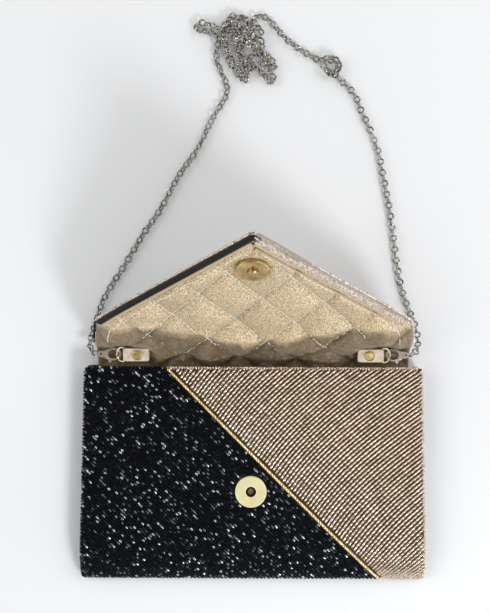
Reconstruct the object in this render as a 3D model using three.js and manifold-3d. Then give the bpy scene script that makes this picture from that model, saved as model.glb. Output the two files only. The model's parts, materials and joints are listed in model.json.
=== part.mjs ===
// Beaded envelope clutch with a quilted flap, a magnetic snap and a clip-on chain strap.
// It lies on its back with the flap raised. Millimetres, +Z up, +X to the wearer's right,
// +Y from the bottom edge to the flap. The origin is the middle of the face it rests on.

import * as THREE from 'three';
import { mergeVertices } from 'three/addons/utils/BufferGeometryUtils.js';
import Module from 'manifold-3d';

// ---------- driving dimensions ----------

const BODY_HALF_WIDTH = 102.5;
const BODY_BOTTOM_Y = -66.5;
const BODY_MOUTH_Y = 63;
const BODY_CORNER_RADIUS = 5;
const BODY_THICKNESS = 15.4;

const ROLL_LENGTH = 28;            // the front panel rolls down to the bottom edge over this length
const LAYER_GAP = 0.3;
const BEADING_THICKNESS = 1.7;
const BOARD_THICKNESS = 1.0;
const LINING_THICKNESS = 0.6;
const INNER_HALF_WIDTH = 98.8;     // boards and linings, inside the side gussets
const GUSSET_INNER_X = 99.2;
const GUSSET_THICKNESS = 1.2;

const RIM_HALF_WIDTH = 94.8;
const RIM_START_Y = 63.3;
const RIM_TOP_Z = 16.2;
const RIM_DEPTH = 17;              // how far the rim's outer face curves back from the mouth

const HINGE_Y = 75;
const HINGE_Z = 20;
const FLAP_REST_ANGLE = THREE.MathUtils.degToRad(58);
const FLAP_START = 5;
const FLAP_BASE_HALF_WIDTH = 94.8;
const FLAP_CORNER_HALF_WIDTH = 90.8;
const FLAP_CORNER_LENGTH = 31.3;
const FLAP_LENGTH = 116;
const FLAP_EDGE_WIDTH = 4;
const FLAP_PAD_THICKNESS = 2.4;

const GOLD_LINE_RADIUS = 1.05;
const GOLD_LINE_HALF_GROOVE = 1.4;
const FRONT_LINE_TOP_X = -51.9;
const FRONT_LINE_BOTTOM_X = 76.5;

const SNAP_X = -1.2;               // the snap sits a little left of the middle
const SNAP_Y = -11;                // socket centre on the front panel
const SNAP_RADIUS = 9.4;
const SNAP_HOLE_RADIUS = 3.15;
const SNAP_TOP_Z = 17.0;
const STUD_RADIUS = 9.0;
const STUD_FACE_HEIGHT = 2.8;      // above the flap's middle plane
const STUD_POST_RADIUS = 2.8;
const SNAP_PLATE_RADIUS = 7.0;

const FITTING_Y = 70.9;            // tabs, rings and clasps lie in the mouth's corners
const FITTING_Z = 13.6;
const TAB_TILT = THREE.MathUtils.degToRad(18);
const TAB_INNER_X = 62.6;
const TAB_OUTER_X = 78.4;
const TAB_HALF_WIDTH = 3.6;
const RIVET_X = 69.7;
const RIVET_RADIUS = 3.1;
const RIVET_POST_RADIUS = 1.1;
const RING_X = 79.0;
const RING_HALF_LENGTH = 3.2;
const RING_HALF_HEIGHT = 4.5;
const RING_WIRE_RADIUS = 0.45;

const CLASP_START_X = 79.5;
const CLASP_ROLL = THREE.MathUtils.degToRad(-22);
const CLASP_DEPTH = 1.8;
const CLASP_SLOT_DEPTH = 1.1;
const LEVER_DEPTH = 0.8;
const LEVER_PIN_RADIUS = 0.4;

const CHAIN_DIAMETER = 4.4;
const CHAIN_SIDES = 8;
const CHAIN_Z = 2.4;
const CHAIN_STEP = 10;

// ---------- materials ----------

const COLOURS = {
  blackBeads: { color: '#14161f', roughness: 0.25, metalness: 0.2 },
  champagneBeads: { color: '#b49a7e', roughness: 0.3, metalness: 0.4 },
  goldBeads: { color: '#c9a24a', roughness: 0.25, metalness: 0.9 },
  board: { color: '#8a8174', roughness: 0.9, metalness: 0 },
  lining: { color: '#b79c78', roughness: 0.6, metalness: 0 },
  blackSatin: { color: '#15151a', roughness: 0.5, metalness: 0 },
  pearlTrim: { color: '#cdb9ae', roughness: 0.4, metalness: 0.1 },
  leather: { color: '#9a7468', roughness: 0.7, metalness: 0 },
  brass: { color: '#d9b76a', roughness: 0.2, metalness: 1 },
  iron: { color: '#4a4744', roughness: 0.5, metalness: 0.8 },
  silver: { color: '#b8b6b0', roughness: 0.2, metalness: 1 },
};

function material(name) {
  return new THREE.MeshStandardMaterial(COLOURS[name]);
}

// ---------- solids ----------

const wasm = await Module();
wasm.setup();

// x along world Y, y along world Z, z along world X
const SECTION_TO_WORLD = new THREE.Matrix4().makeBasis(
  new THREE.Vector3(0, 1, 0), new THREE.Vector3(0, 0, 1), new THREE.Vector3(1, 0, 0));

function toManifold(geometry) {
  const bare = geometry.clone();
  bare.deleteAttribute('normal');
  bare.deleteAttribute('uv');
  const merged = mergeVertices(bare, 1e-4);
  return new wasm.Manifold(new wasm.Mesh({
    numProp: 3,
    vertProperties: new Float32Array(merged.attributes.position.array),
    triVerts: new Uint32Array(merged.index.array),
  }));
}

function toGeometry(solid) {
  const result = solid.getMesh();
  const geometry = new THREE.BufferGeometry();
  geometry.setAttribute('position', new THREE.BufferAttribute(new Float32Array(result.vertProperties), 3));
  geometry.setIndex(new THREE.BufferAttribute(new Uint32Array(result.triVerts), 1));
  return geometry;
}

function cut(geometry, ...tools) {
  let solid = toManifold(geometry);
  for (const tool of tools) solid = solid.subtract(toManifold(tool));
  return toGeometry(solid);
}

function common(geometry, ...others) {
  let solid = toManifold(geometry);
  for (const other of others) solid = solid.intersect(toManifold(other));
  return toGeometry(solid);
}

function shapeOf(points) {
  return new THREE.Shape(points.map(([x, y]) => new THREE.Vector2(x, y)));
}

// a flat plate: outline in X and Y, from z0 to z1
function plate(shape, z0, z1, curveSegments = 8) {
  const geometry = new THREE.ExtrudeGeometry(shape, { depth: z1 - z0, bevelEnabled: false, curveSegments });
  return geometry.translate(0, 0, z0);
}

// a section drawn in Y and Z, drawn out along X from x0 to x1
function sweepX(points, x0, x1) {
  const geometry = new THREE.ExtrudeGeometry(shapeOf(points), { depth: x1 - x0, bevelEnabled: false });
  return geometry.translate(0, 0, x0).applyMatrix4(SECTION_TO_WORLD);
}

function disc(radius, z0, z1, segments = 32) {
  const geometry = new THREE.CylinderGeometry(radius, radius, z1 - z0, segments);
  return geometry.rotateX(Math.PI / 2).translate(0, 0, (z0 + z1) / 2);
}

// a turned piece: profile of [radius, z] points, round the Z axis
function turned(profile, segments = 32) {
  const points = profile.map(([radius, z]) => new THREE.Vector2(radius, z));
  return new THREE.LatheGeometry(points, segments).rotateX(Math.PI / 2);
}

function roundSection(radius, sides) {
  const corners = [];
  for (let i = 0; i < sides; i += 1) {
    const angle = (2 * Math.PI * (i + 0.5)) / sides;
    corners.push([radius * Math.cos(angle), radius * Math.sin(angle)]);
  }
  return shapeOf(corners);
}

function tube(points, radius, sides, steps) {
  const path = new THREE.CatmullRomCurve3(points.map((p) => new THREE.Vector3(...p)), false, 'centripetal');
  return new THREE.ExtrudeGeometry(roundSection(radius, sides), { extrudePath: path, steps, bevelEnabled: false });
}

function roundedRectangle(halfWidth, y0, y1, radius) {
  const shape = new THREE.Shape();
  shape.moveTo(-halfWidth + radius, y0);
  shape.lineTo(halfWidth - radius, y0);
  shape.absarc(halfWidth - radius, y0 + radius, radius, -Math.PI / 2, 0, false);
  shape.lineTo(halfWidth, y1 - radius);
  shape.absarc(halfWidth - radius, y1 - radius, radius, 0, Math.PI / 2, false);
  shape.lineTo(-halfWidth + radius, y1);
  shape.absarc(-halfWidth + radius, y1 - radius, radius, Math.PI / 2, Math.PI, false);
  shape.lineTo(-halfWidth, y0 + radius);
  shape.absarc(-halfWidth + radius, y0 + radius, radius, Math.PI, 1.5 * Math.PI, false);
  return shape;
}

const purse = new THREE.Group();

function add(parent, name, geometry, colour) {
  const mesh = new THREE.Mesh(geometry, material(colour));
  mesh.name = name;
  parent.add(mesh);
  return mesh;
}

// ---------- layers, as depths below the outer face ----------

const BOARD_DEPTH = BEADING_THICKNESS + LAYER_GAP;
const LINING_DEPTH = BOARD_DEPTH + BOARD_THICKNESS + LAYER_GAP;
const SHELL_DEPTH = LINING_DEPTH + LINING_THICKNESS;
const FRONT_FOOT_Z = BOARD_DEPTH;

// ---------- beaded panels split by a line of gold beads ----------

const FAR = 400;

// a tall prism covering one side of the line from a to b, side = 1 to its left, -1 to its right
function sideOfLine(a, b, side) {
  const along = new THREE.Vector2(b[0] - a[0], b[1] - a[1]).normalize();
  const across = new THREE.Vector2(-along.y, along.x).multiplyScalar(side);
  const start = new THREE.Vector2(...a).addScaledVector(along, -FAR);
  const end = new THREE.Vector2(...a).addScaledVector(along, FAR);
  const corners = [
    start.clone().addScaledVector(across, GOLD_LINE_HALF_GROOVE),
    end.clone().addScaledVector(across, GOLD_LINE_HALF_GROOVE),
    end.clone().addScaledVector(across, FAR),
    start.clone().addScaledVector(across, FAR),
  ];
  return plate(new THREE.Shape(corners), -FAR, FAR);
}

// ---------- back panel ----------

function addBackPanel() {
  const outline = roundedRectangle(BODY_HALF_WIDTH, BODY_BOTTOM_Y, BODY_MOUTH_Y, BODY_CORNER_RADIUS);
  const skin = plate(outline, 0, BEADING_THICKNESS, 5);
  const top = [0, BODY_MOUTH_Y];
  const bottom = [FRONT_LINE_BOTTOM_X, BODY_BOTTOM_Y];
  add(purse, 'back_beading_black', common(skin, sideOfLine(top, bottom, -1)), 'blackBeads');
  add(purse, 'back_beading_champagne', common(skin, sideOfLine(top, bottom, 1)), 'champagneBeads');

  const inset = 1;
  const radius = BEADING_THICKNESS / 2 - 0.05;
  const line = [
    [top[0] + inset * 0.6, top[1] - inset, BEADING_THICKNESS / 2],
    [bottom[0] - inset * 0.6, bottom[1] + inset, BEADING_THICKNESS / 2],
  ];
  add(purse, 'back_gold_bead_line', tube(line, radius, 8, 1), 'goldBeads');

  const innerBottom = BODY_BOTTOM_Y + SHELL_DEPTH + 3 * LAYER_GAP;
  const inner = (z0, z1) => {
    const geometry = new THREE.BoxGeometry(2 * INNER_HALF_WIDTH, BODY_MOUTH_Y - innerBottom, z1 - z0);
    return geometry.translate(0, (BODY_MOUTH_Y + innerBottom) / 2, (z0 + z1) / 2);
  };
  add(purse, 'back_board', inner(BOARD_DEPTH, BOARD_DEPTH + BOARD_THICKNESS), 'board');
  add(purse, 'lining_back', inner(LINING_DEPTH, SHELL_DEPTH), 'lining');
}

// ---------- front panel ----------

// the front face, depth below the outer face: flat, then a quarter ellipse down to the bottom edge
function frontCurve(depth, mouthY, segments = 10) {
  const rollY = BODY_BOTTOM_Y + ROLL_LENGTH;
  const rollHeight = BODY_THICKNESS - FRONT_FOOT_Z;
  const points = [[mouthY, BODY_THICKNESS - depth]];
  for (let i = 0; i <= segments; i += 1) {
    const angle = (i / segments) * (Math.PI / 2);
    points.push([
      rollY - (ROLL_LENGTH - depth) * Math.sin(angle),
      FRONT_FOOT_Z + (rollHeight - depth) * Math.cos(angle),
    ]);
  }
  return points;
}

function frontLayer(outerDepth, innerDepth, mouthY) {
  return [...frontCurve(outerDepth, mouthY), ...frontCurve(innerDepth, mouthY).reverse()];
}

function snapHole(radius) {
  return disc(radius, -FAR, FAR).translate(SNAP_X, SNAP_Y, 0);
}

function addFrontPanel() {
  const outline = roundedRectangle(BODY_HALF_WIDTH, BODY_BOTTOM_Y - 1, BODY_MOUTH_Y, BODY_CORNER_RADIUS);
  const skin = common(
    sweepX(frontLayer(0, BEADING_THICKNESS, BODY_MOUTH_Y), -BODY_HALF_WIDTH, BODY_HALF_WIDTH),
    plate(outline, -FAR, FAR, 5));
  const top = [FRONT_LINE_TOP_X, BODY_MOUTH_Y];
  const bottom = [FRONT_LINE_BOTTOM_X, BODY_BOTTOM_Y];
  const black = cut(skin, snapHole(SNAP_RADIUS + LAYER_GAP));
  add(purse, 'front_beading_black', common(black, sideOfLine(top, bottom, -1)), 'blackBeads');
  add(purse, 'front_beading_champagne', common(skin, sideOfLine(top, bottom, 1)), 'champagneBeads');

  const lineDepth = 0.6;
  const slope = (bottom[0] - top[0]) / (bottom[1] - top[1]);
  const route = frontCurve(lineDepth, BODY_MOUTH_Y - 1, 8).slice(0, -2)
    .map(([y, z]) => [top[0] + (y - top[1]) * slope, y, z]);
  add(purse, 'front_gold_bead_line', tube(route, GOLD_LINE_RADIUS, 8, 24), 'goldBeads');

  const board = sweepX(
    frontLayer(BOARD_DEPTH, BOARD_DEPTH + BOARD_THICKNESS, BODY_MOUTH_Y - 1), -INNER_HALF_WIDTH, INNER_HALF_WIDTH);
  add(purse, 'front_board', cut(board, snapHole(SNAP_PLATE_RADIUS + LAYER_GAP)), 'board');
  add(purse, 'lining_front', sweepX(
    frontLayer(LINING_DEPTH, SHELL_DEPTH, BODY_MOUTH_Y), -INNER_HALF_WIDTH, INNER_HALF_WIDTH), 'lining');
}

function addGussets() {
  const outline = [...frontCurve(BOARD_DEPTH, BODY_MOUTH_Y), [BODY_MOUTH_Y, FRONT_FOOT_Z]];
  const outerX = GUSSET_INNER_X + GUSSET_THICKNESS;
  add(purse, 'gusset_left', sweepX(outline, -outerX, -GUSSET_INNER_X), 'blackSatin');
  add(purse, 'gusset_right', sweepX(outline, GUSSET_INNER_X, outerX), 'blackSatin');
}

// ---------- rim: the back panel's top edge, curving up to the fold ----------

function rimPoint(depth, angle) {
  return [
    BODY_MOUTH_Y + (RIM_DEPTH - depth) * Math.sin(angle),
    RIM_TOP_Z - (RIM_TOP_Z - depth) * Math.cos(angle),
  ];
}

function rimCurve(depth, segments = 8) {
  const start = Math.asin((RIM_START_Y - BODY_MOUTH_Y) / (RIM_DEPTH - depth));
  const points = [];
  for (let i = 0; i <= segments; i += 1) {
    points.push(rimPoint(depth, start + (i / segments) * (Math.PI / 2 - start)));
  }
  return points;
}

function rimLayer(outerDepth, innerDepth, x0, x1) {
  return sweepX([...rimCurve(outerDepth), ...rimCurve(innerDepth).reverse()], x0, x1);
}

function addRim() {
  const groove = GOLD_LINE_HALF_GROOVE;
  const skin = (x0, x1) => rimLayer(0, BEADING_THICKNESS, x0, x1);
  add(purse, 'rim_beading_black', skin(-RIM_HALF_WIDTH, -groove), 'blackBeads');
  add(purse, 'rim_beading_champagne', skin(groove, RIM_HALF_WIDTH), 'champagneBeads');
  const lineRadius = BEADING_THICKNESS / 2 - 0.05;
  const route = rimCurve(BEADING_THICKNESS / 2).map(([y, z]) => [0, y, z]);
  add(purse, 'rim_gold_bead_line', tube(route, lineRadius, 8, 10), 'goldBeads');
  add(purse, 'rim_board',
    rimLayer(BOARD_DEPTH, BOARD_DEPTH + BOARD_THICKNESS, -RIM_HALF_WIDTH, RIM_HALF_WIDTH), 'board');
  add(purse, 'rim_lining', rimLayer(LINING_DEPTH, SHELL_DEPTH, -RIM_HALF_WIDTH, RIM_HALF_WIDTH), 'lining');
}

// the tape that the flap folds round, part of a tube centred on the hinge line
function addFoldTape() {
  const innerRadius = 3.0;
  const outerRadius = 3.8;
  const firstAngle = THREE.MathUtils.degToRad(-62);
  const lastAngle = THREE.MathUtils.degToRad(30);
  const segments = 8;
  const arc = (radius) => {
    const points = [];
    for (let i = 0; i <= segments; i += 1) {
      const angle = firstAngle + (i / segments) * (lastAngle - firstAngle);
      points.push([HINGE_Y + radius * Math.cos(angle), HINGE_Z + radius * Math.sin(angle)]);
    }
    return points;
  };
  const section = [...arc(outerRadius), ...arc(innerRadius).reverse()];
  add(purse, 'fold_tape', sweepX(section, -RIM_HALF_WIDTH, RIM_HALF_WIDTH), 'blackSatin');
}

// ---------- flap ----------

const flap = new THREE.Group();
flap.position.set(0, HINGE_Y, HINGE_Z);
flap.rotation.x = FLAP_REST_ANGLE;
purse.add(flap);

// the right half of the flap's outline from its foot to its tip, moved in by inset
function flapHalfOutline(inset) {
  const foot = new THREE.Vector2(FLAP_BASE_HALF_WIDTH, 0);
  const corner = new THREE.Vector2(FLAP_CORNER_HALF_WIDTH, FLAP_CORNER_LENGTH);
  const tip = new THREE.Vector2(0, FLAP_LENGTH + 2);
  const inward = (a, b) => {
    const along = b.clone().sub(a).normalize();
    return new THREE.Vector2(-along.y, along.x).multiplyScalar(inset);
  };
  const sideShift = inward(foot, corner);
  const slantShift = inward(corner, tip);
  const slant = tip.clone().sub(corner);
  const side = corner.clone().sub(foot);
  const shiftedFoot = foot.clone().add(sideShift);
  const shiftedCorner = corner.clone().add(slantShift);
  const gap = shiftedCorner.clone().sub(shiftedFoot);
  const reach = gap.cross(slant) / side.cross(slant);
  const meeting = shiftedFoot.clone().addScaledVector(side, reach);
  const footReach = (FLAP_START - shiftedFoot.y) / side.y;
  const start = shiftedFoot.clone().addScaledVector(side, footReach);
  const tipReach = -shiftedCorner.x / slant.x;
  const end = shiftedCorner.clone().addScaledVector(slant, tipReach);
  return { start, meeting, end };
}

function flapHalfPoints(inset) {
  const { start, meeting, end } = flapHalfOutline(inset);
  const round = 5;
  const toStart = start.clone().sub(meeting).normalize();
  const toEnd = end.clone().sub(meeting).normalize();
  const before = meeting.clone().addScaledVector(toStart, round);
  const after = meeting.clone().addScaledVector(toEnd, round);
  const corner = new THREE.QuadraticBezierCurve(before, meeting, after).getPoints(4);
  const beforeTip = end.clone().addScaledVector(toEnd, -round);
  const mirrored = new THREE.Vector2(-beforeTip.x, beforeTip.y);
  const tip = new THREE.QuadraticBezierCurve(beforeTip, end, mirrored).getPoints(6).slice(0, 4);
  return [start, ...corner, ...tip];
}

function mirrorX(points) {
  return points.map((p) => new THREE.Vector2(-p.x, p.y));
}

function flapShape(inset) {
  const right = flapHalfPoints(inset);
  return new THREE.Shape([...right, ...mirrorX(right.slice(0, -1)).reverse()]);
}

function addFlap() {
  const studY = HINGE_Y - SNAP_Y;
  const hole = (radius) => disc(radius, -FAR, FAR).translate(SNAP_X, studY, 0);
  const padTop = FLAP_PAD_THICKNESS;
  const boardTop = -LAYER_GAP;
  const boardFoot = boardTop - BOARD_THICKNESS + 0.2;
  const skinTop = boardFoot - LAYER_GAP;
  const skinFoot = skinTop - BEADING_THICKNESS;

  const pad = plate(flapShape(FLAP_EDGE_WIDTH + LAYER_GAP), 0, padTop);
  add(flap, 'flap_quilted_lining', cut(pad, hole(STUD_RADIUS + LAYER_GAP)), 'lining');
  const board = plate(flapShape(1), boardFoot, boardTop);
  add(flap, 'flap_board', cut(board, hole(SNAP_PLATE_RADIUS + LAYER_GAP)), 'board');

  const skin = plate(flapShape(0), skinFoot, skinTop);
  const foot = [0, 0];
  const tip = [0, FLAP_LENGTH];
  add(flap, 'flap_beading_black', common(skin, sideOfLine(foot, tip, 1)), 'blackBeads');
  add(flap, 'flap_beading_champagne', common(skin, sideOfLine(foot, tip, -1)), 'champagneBeads');
  const lineZ = (skinTop + skinFoot) / 2;
  const line = [[0, FLAP_START + 0.5, lineZ], [0, FLAP_LENGTH - 3, lineZ]];
  add(flap, 'flap_gold_bead_line', tube(line, BEADING_THICKNESS / 2 - 0.05, 8, 1), 'goldBeads');

  const bandTop = 1.6;
  const outer = flapHalfPoints(0);
  const inner = flapHalfPoints(FLAP_EDGE_WIDTH);
  const half = LAYER_GAP / 2;
  const keepRight = (points) => points.map((p) => new THREE.Vector2(Math.max(p.x, half), p.y));
  const band = [...keepRight(outer), ...keepRight(inner).reverse()];
  add(flap, 'flap_edge_right', plate(new THREE.Shape(band), 0, bandTop), 'pearlTrim');
  add(flap, 'flap_edge_left', plate(new THREE.Shape(mirrorX(band)), 0, bandTop), 'blackSatin');

  const face = STUD_FACE_HEIGHT;
  const discProfile = [
    [STUD_POST_RADIUS + 0.2, 0.2], [STUD_RADIUS - 0.6, 0.2], [STUD_RADIUS, 0.8], [STUD_RADIUS, face - 0.5],
    [STUD_RADIUS - 0.5, face], [STUD_POST_RADIUS + 0.2, face], [STUD_POST_RADIUS + 0.2, 0.2],
  ];
  add(flap, 'snap_stud_disc', turned(discProfile).translate(SNAP_X, studY, 0), 'brass');
  const postProfile = [
    [0, 0.2], [STUD_POST_RADIUS, 0.2], [STUD_POST_RADIUS, face + 1.6], [STUD_POST_RADIUS - 0.5, face + 2.1],
    [0, face + 2.1],
  ];
  add(flap, 'snap_stud_post', turned(postProfile, 24).translate(SNAP_X, studY, 0), 'brass');
  const plateZ = [boardFoot + 0.05, boardTop - 0.05];
  add(flap, 'snap_stud_backplate', disc(SNAP_PLATE_RADIUS, ...plateZ).translate(SNAP_X, studY, 0), 'iron');
}

// ---------- snap socket ----------

function addSnapSocket() {
  const foot = BODY_THICKNESS - BEADING_THICKNESS;
  const wall = 0.5;
  const shellProfile = [
    [SNAP_RADIUS - wall, foot], [SNAP_RADIUS, foot], [SNAP_RADIUS, SNAP_TOP_Z - 0.5], [SNAP_RADIUS - 0.6, SNAP_TOP_Z],
    [SNAP_HOLE_RADIUS + 0.5, SNAP_TOP_Z], [SNAP_HOLE_RADIUS, SNAP_TOP_Z - 0.4], [SNAP_HOLE_RADIUS, SNAP_TOP_Z - 1.4],
    [SNAP_HOLE_RADIUS + 0.4, SNAP_TOP_Z - 1.4], [SNAP_HOLE_RADIUS + 0.4, SNAP_TOP_Z - wall],
    [SNAP_RADIUS - wall, SNAP_TOP_Z - wall], [SNAP_RADIUS - wall, foot],
  ];
  add(purse, 'snap_socket_shell', turned(shellProfile).translate(SNAP_X, SNAP_Y, 0), 'brass');
  const magnetFoot = foot + 0.7;
  const magnetTop = SNAP_TOP_Z - wall - 0.2;
  const magnetOuter = SNAP_RADIUS - wall - 0.2;
  const magnetInner = SNAP_HOLE_RADIUS + 0.65;
  const magnetProfile = [
    [magnetInner, magnetFoot], [magnetOuter, magnetFoot], [magnetOuter, magnetTop], [magnetInner, magnetTop],
    [magnetInner, magnetFoot],
  ];
  add(purse, 'snap_socket_magnet', turned(magnetProfile).translate(SNAP_X, SNAP_Y, 0), 'iron');
  const baseProfile = [
    [0, foot + 0.05], [magnetOuter, foot + 0.05], [magnetOuter, foot + 0.45], [2, foot + 0.45],
    [1.8, foot + 0.9], [0, foot + 0.9],
  ];
  add(purse, 'snap_socket_core', turned(baseProfile).translate(SNAP_X, SNAP_Y, 0), 'brass');
  const boardTop = BODY_THICKNESS - BOARD_DEPTH;
  const backplate = disc(SNAP_PLATE_RADIUS, boardTop - BOARD_THICKNESS + 0.05, boardTop - 0.05);
  add(purse, 'snap_socket_backplate', backplate.translate(SNAP_X, SNAP_Y, 0), 'iron');
}

// ---------- tabs, rivets and rings ----------

// side = -1 left, 1 right
function addTab(side, label) {
  const group = new THREE.Group();
  group.position.set(0, FITTING_Y, FITTING_Z);
  group.rotation.x = TAB_TILT;
  purse.add(group);

  const thin = 1.0;
  const thick = 1.6;
  const at = (x) => side * x;
  const outline = shapeOf([
    [at(TAB_INNER_X), -thin], [at(73.5), -thin], [at(75), -thick], [at(77.6), -thick], [at(TAB_OUTER_X), -0.9],
    [at(TAB_OUTER_X), 0.9], [at(77.6), thick], [at(75), thick], [at(73.5), thin], [at(TAB_INNER_X), thin],
  ]);
  const slotOutline = shapeOf([
    [at(75.0), -0.4], [at(75.4), -0.85], [at(77.3), -0.85], [at(77.7), -0.4],
    [at(77.7), 0.4], [at(77.3), 0.85], [at(75.4), 0.85], [at(75.0), 0.4],
  ]);
  const lengthwise = (shape, halfWidth) => plate(shape, -halfWidth, halfWidth).rotateX(Math.PI / 2);
  const strip = lengthwise(outline, TAB_HALF_WIDTH);
  const slot = lengthwise(slotOutline, TAB_HALF_WIDTH + 1);
  const rivetHole = disc(RIVET_POST_RADIUS + 0.2, -10, 10, 20).translate(at(RIVET_X), 0, 0);
  add(group, `tab_${label}`, cut(strip, slot, rivetHole), 'leather');

  const underside = -thin - LAYER_GAP;
  const rivetProfile = [
    [0, -4.5], [RIVET_POST_RADIUS, -4.5], [RIVET_POST_RADIUS, thin + 0.1], [RIVET_RADIUS, thin + 0.1],
    [RIVET_RADIUS, thin + 0.6], [RIVET_RADIUS * 0.7, thin + 1.1], [0, thin + 1.3],
  ];
  const rivet = turned(rivetProfile, 24).translate(at(RIVET_X), 0, 0);
  add(group, `tab_rivet_${label}`, rivet, 'brass');

  // leather riser between the tab and the lining of the rim, drawn in the purse's own axes
  const lean = TAB_TILT;
  const topPoint = (v) => [
    FITTING_Y + v * Math.cos(lean) - underside * Math.sin(lean),
    FITTING_Z + v * Math.sin(lean) + underside * Math.cos(lean),
  ];
  const footPoint = (y) => {
    const depth = SHELL_DEPTH + LAYER_GAP;
    return rimPoint(depth, Math.asin((y - BODY_MOUTH_Y) / (RIM_DEPTH - depth)));
  };
  const section = [footPoint(68.2), footPoint(70), footPoint(72), footPoint(73.6), topPoint(2.6), topPoint(-2.8)];
  const riser = side > 0 ? sweepX(section, 64, 73.4) : sweepX(section, -73.4, -64);
  const postHole = disc(RIVET_POST_RADIUS + 0.2, -10, 10, 20)
    .rotateX(lean).translate(at(RIVET_X), FITTING_Y, FITTING_Z);
  add(purse, `tab_riser_${label}`, cut(riser, postHole), 'leather');

  const ring = new THREE.TorusGeometry(RING_HALF_HEIGHT, RING_WIRE_RADIUS, 8, 28);
  ring.scale(RING_HALF_LENGTH / RING_HALF_HEIGHT, 1, 1);
  add(group, `ring_${label}`, ring.translate(at(RING_X), 0, 0), 'brass');
}

// ---------- lobster clasps ----------

const CLASP = {
  centre: 4.6, outerLength: 4.6, outerWidth: 3.9, innerLength: 3.3, innerWidth: 2.7,
  eye: 12.2, eyeRadius: 1.7, eyeHole: 0.8, pivot: [8.5, -2.1],
};

// the slot beside the hub, where the lever's root swings
const LEVER_SLOT = [[6.4, -5.2], [9.9, -3.4], [9.9, -0.8], [6.4, -0.8]];

// the loop is open between the hook's nose and the lever's hub, as angles in degrees
const GAP_FROM = 221;
const GAP_TO = 318;

// a point of the clasp's oval loop; angle 0 faces the eye, lengthwise along +X on the right side
function loopPoint(length, width, degrees) {
  const angle = THREE.MathUtils.degToRad(degrees);
  return [CLASP.centre + length * Math.cos(angle), width * Math.sin(angle)];
}

function arcPoints(length, width, from, to, segments) {
  const points = [];
  for (let i = 0; i <= segments; i += 1) {
    points.push(loopPoint(length, width, from + (i / segments) * (to - from)));
  }
  return points;
}

function addClasp(side, label) {
  const group = new THREE.Group();
  group.position.set(side * CLASP_START_X, FITTING_Y, FITTING_Z);
  group.rotation.x = CLASP_ROLL;
  purse.add(group);
  const mirrored = (points) => points.map(([x, y]) => [side * x, y]);
  const slab = (points, depth) => plate(shapeOf(mirrored(points)), -depth / 2, depth / 2);

  // the body: outside of the loop, drawn in to the eye, open on the lever's side
  const eyeArc = [];
  for (let i = 0; i <= 8; i += 1) {
    const angle = THREE.MathUtils.degToRad(-80 + 160 * (i / 8));
    eyeArc.push([CLASP.eye + CLASP.eyeRadius * Math.cos(angle), CLASP.eyeRadius * Math.sin(angle)]);
  }
  const outside = [...arcPoints(CLASP.outerLength, CLASP.outerWidth, 40, 320, 22), ...eyeArc];
  const inside = arcPoints(CLASP.innerLength, CLASP.innerWidth, 0, 345, 23);
  const mouthGap = [
    ...arcPoints(CLASP.innerLength - 0.6, CLASP.innerWidth - 0.6, GAP_FROM, GAP_TO, 6),
    ...arcPoints(CLASP.outerLength + 2, CLASP.outerWidth + 2, GAP_TO, GAP_FROM, 6),
  ];
  const [pivotX, pivotY] = CLASP.pivot;
  const hub = (radius, depth, segments = 16) => disc(radius, -depth / 2, depth / 2, segments)
    .translate(side * pivotX, pivotY, 0);
  const frame = cut(
    slab(outside, CLASP_DEPTH),
    slab(inside, 2 * CLASP_DEPTH),
    slab(mouthGap, 2 * CLASP_DEPTH),
    disc(CLASP.eyeHole, -CLASP_DEPTH, CLASP_DEPTH, 12).translate(side * CLASP.eye, 0, 0),
    hub(1.5, CLASP_SLOT_DEPTH, 20),
    slab(LEVER_SLOT, CLASP_SLOT_DEPTH),
    hub(LEVER_PIN_RADIUS + 0.05, 2 * CLASP_DEPTH));
  add(group, `clasp_frame_${label}`, frame, 'silver');

  // the lever: closes the loop from the pivot to the hook's nose, with a thumb nub
  const leverOuter = arcPoints(CLASP.outerLength, CLASP.outerWidth, 231, 300, 6);
  const leverInner = arcPoints(CLASP.innerLength + 0.3, CLASP.innerWidth + 0.2, 300, 231, 6);
  const arm = slab([...leverOuter, [8.4, -3.2], [8.4, -1.2], ...leverInner], LEVER_DEPTH);
  const nub = slab([[5.2, -3.2], [6.0, -5.2], [7.2, -5.0], [7.6, -2.8]], LEVER_DEPTH);
  const lever = toManifold(arm).add(toManifold(nub)).add(toManifold(hub(1.15, LEVER_DEPTH)))
    .subtract(toManifold(hub(LEVER_PIN_RADIUS + 0.1, 2 * CLASP_DEPTH)));
  add(group, `clasp_lever_${label}`, toGeometry(lever), 'silver');
  add(group, `clasp_pin_${label}`, hub(LEVER_PIN_RADIUS, CLASP_DEPTH), 'silver');
}

// ---------- chain strap ----------

const CHAIN_LEFT = [
  [-94.0, 70.9, 13.6], [-98.0, 73.2, 11.6], [-99.4, 77.6, 6.6], [-99.0, 83, 2.9], [-96.8, 89, CHAIN_Z],
  [-94.8, 95.8, CHAIN_Z], [-90.8, 106.4, CHAIN_Z], [-78.5, 126, CHAIN_Z], [-67.7, 144.2, CHAIN_Z],
  [-57.1, 159.7, CHAIN_Z], [-45.4, 181.2, CHAIN_Z], [-35, 195.9, CHAIN_Z], [-25.8, 214.6, CHAIN_Z],
  [-18.1, 227.3, CHAIN_Z], [-16.6, 234.5, CHAIN_Z],
];
const CHAIN_MIDDLE = [
  [-1.3, 275, CHAIN_Z], [3, 278.4, CHAIN_Z], [7.9, 276.3, CHAIN_Z], [13.4, 270.4, CHAIN_Z],
  [18.3, 265, CHAIN_Z], [25.6, 259, CHAIN_Z], [34, 253.9, CHAIN_Z], [40.3, 250.8, CHAIN_Z],
];
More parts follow.
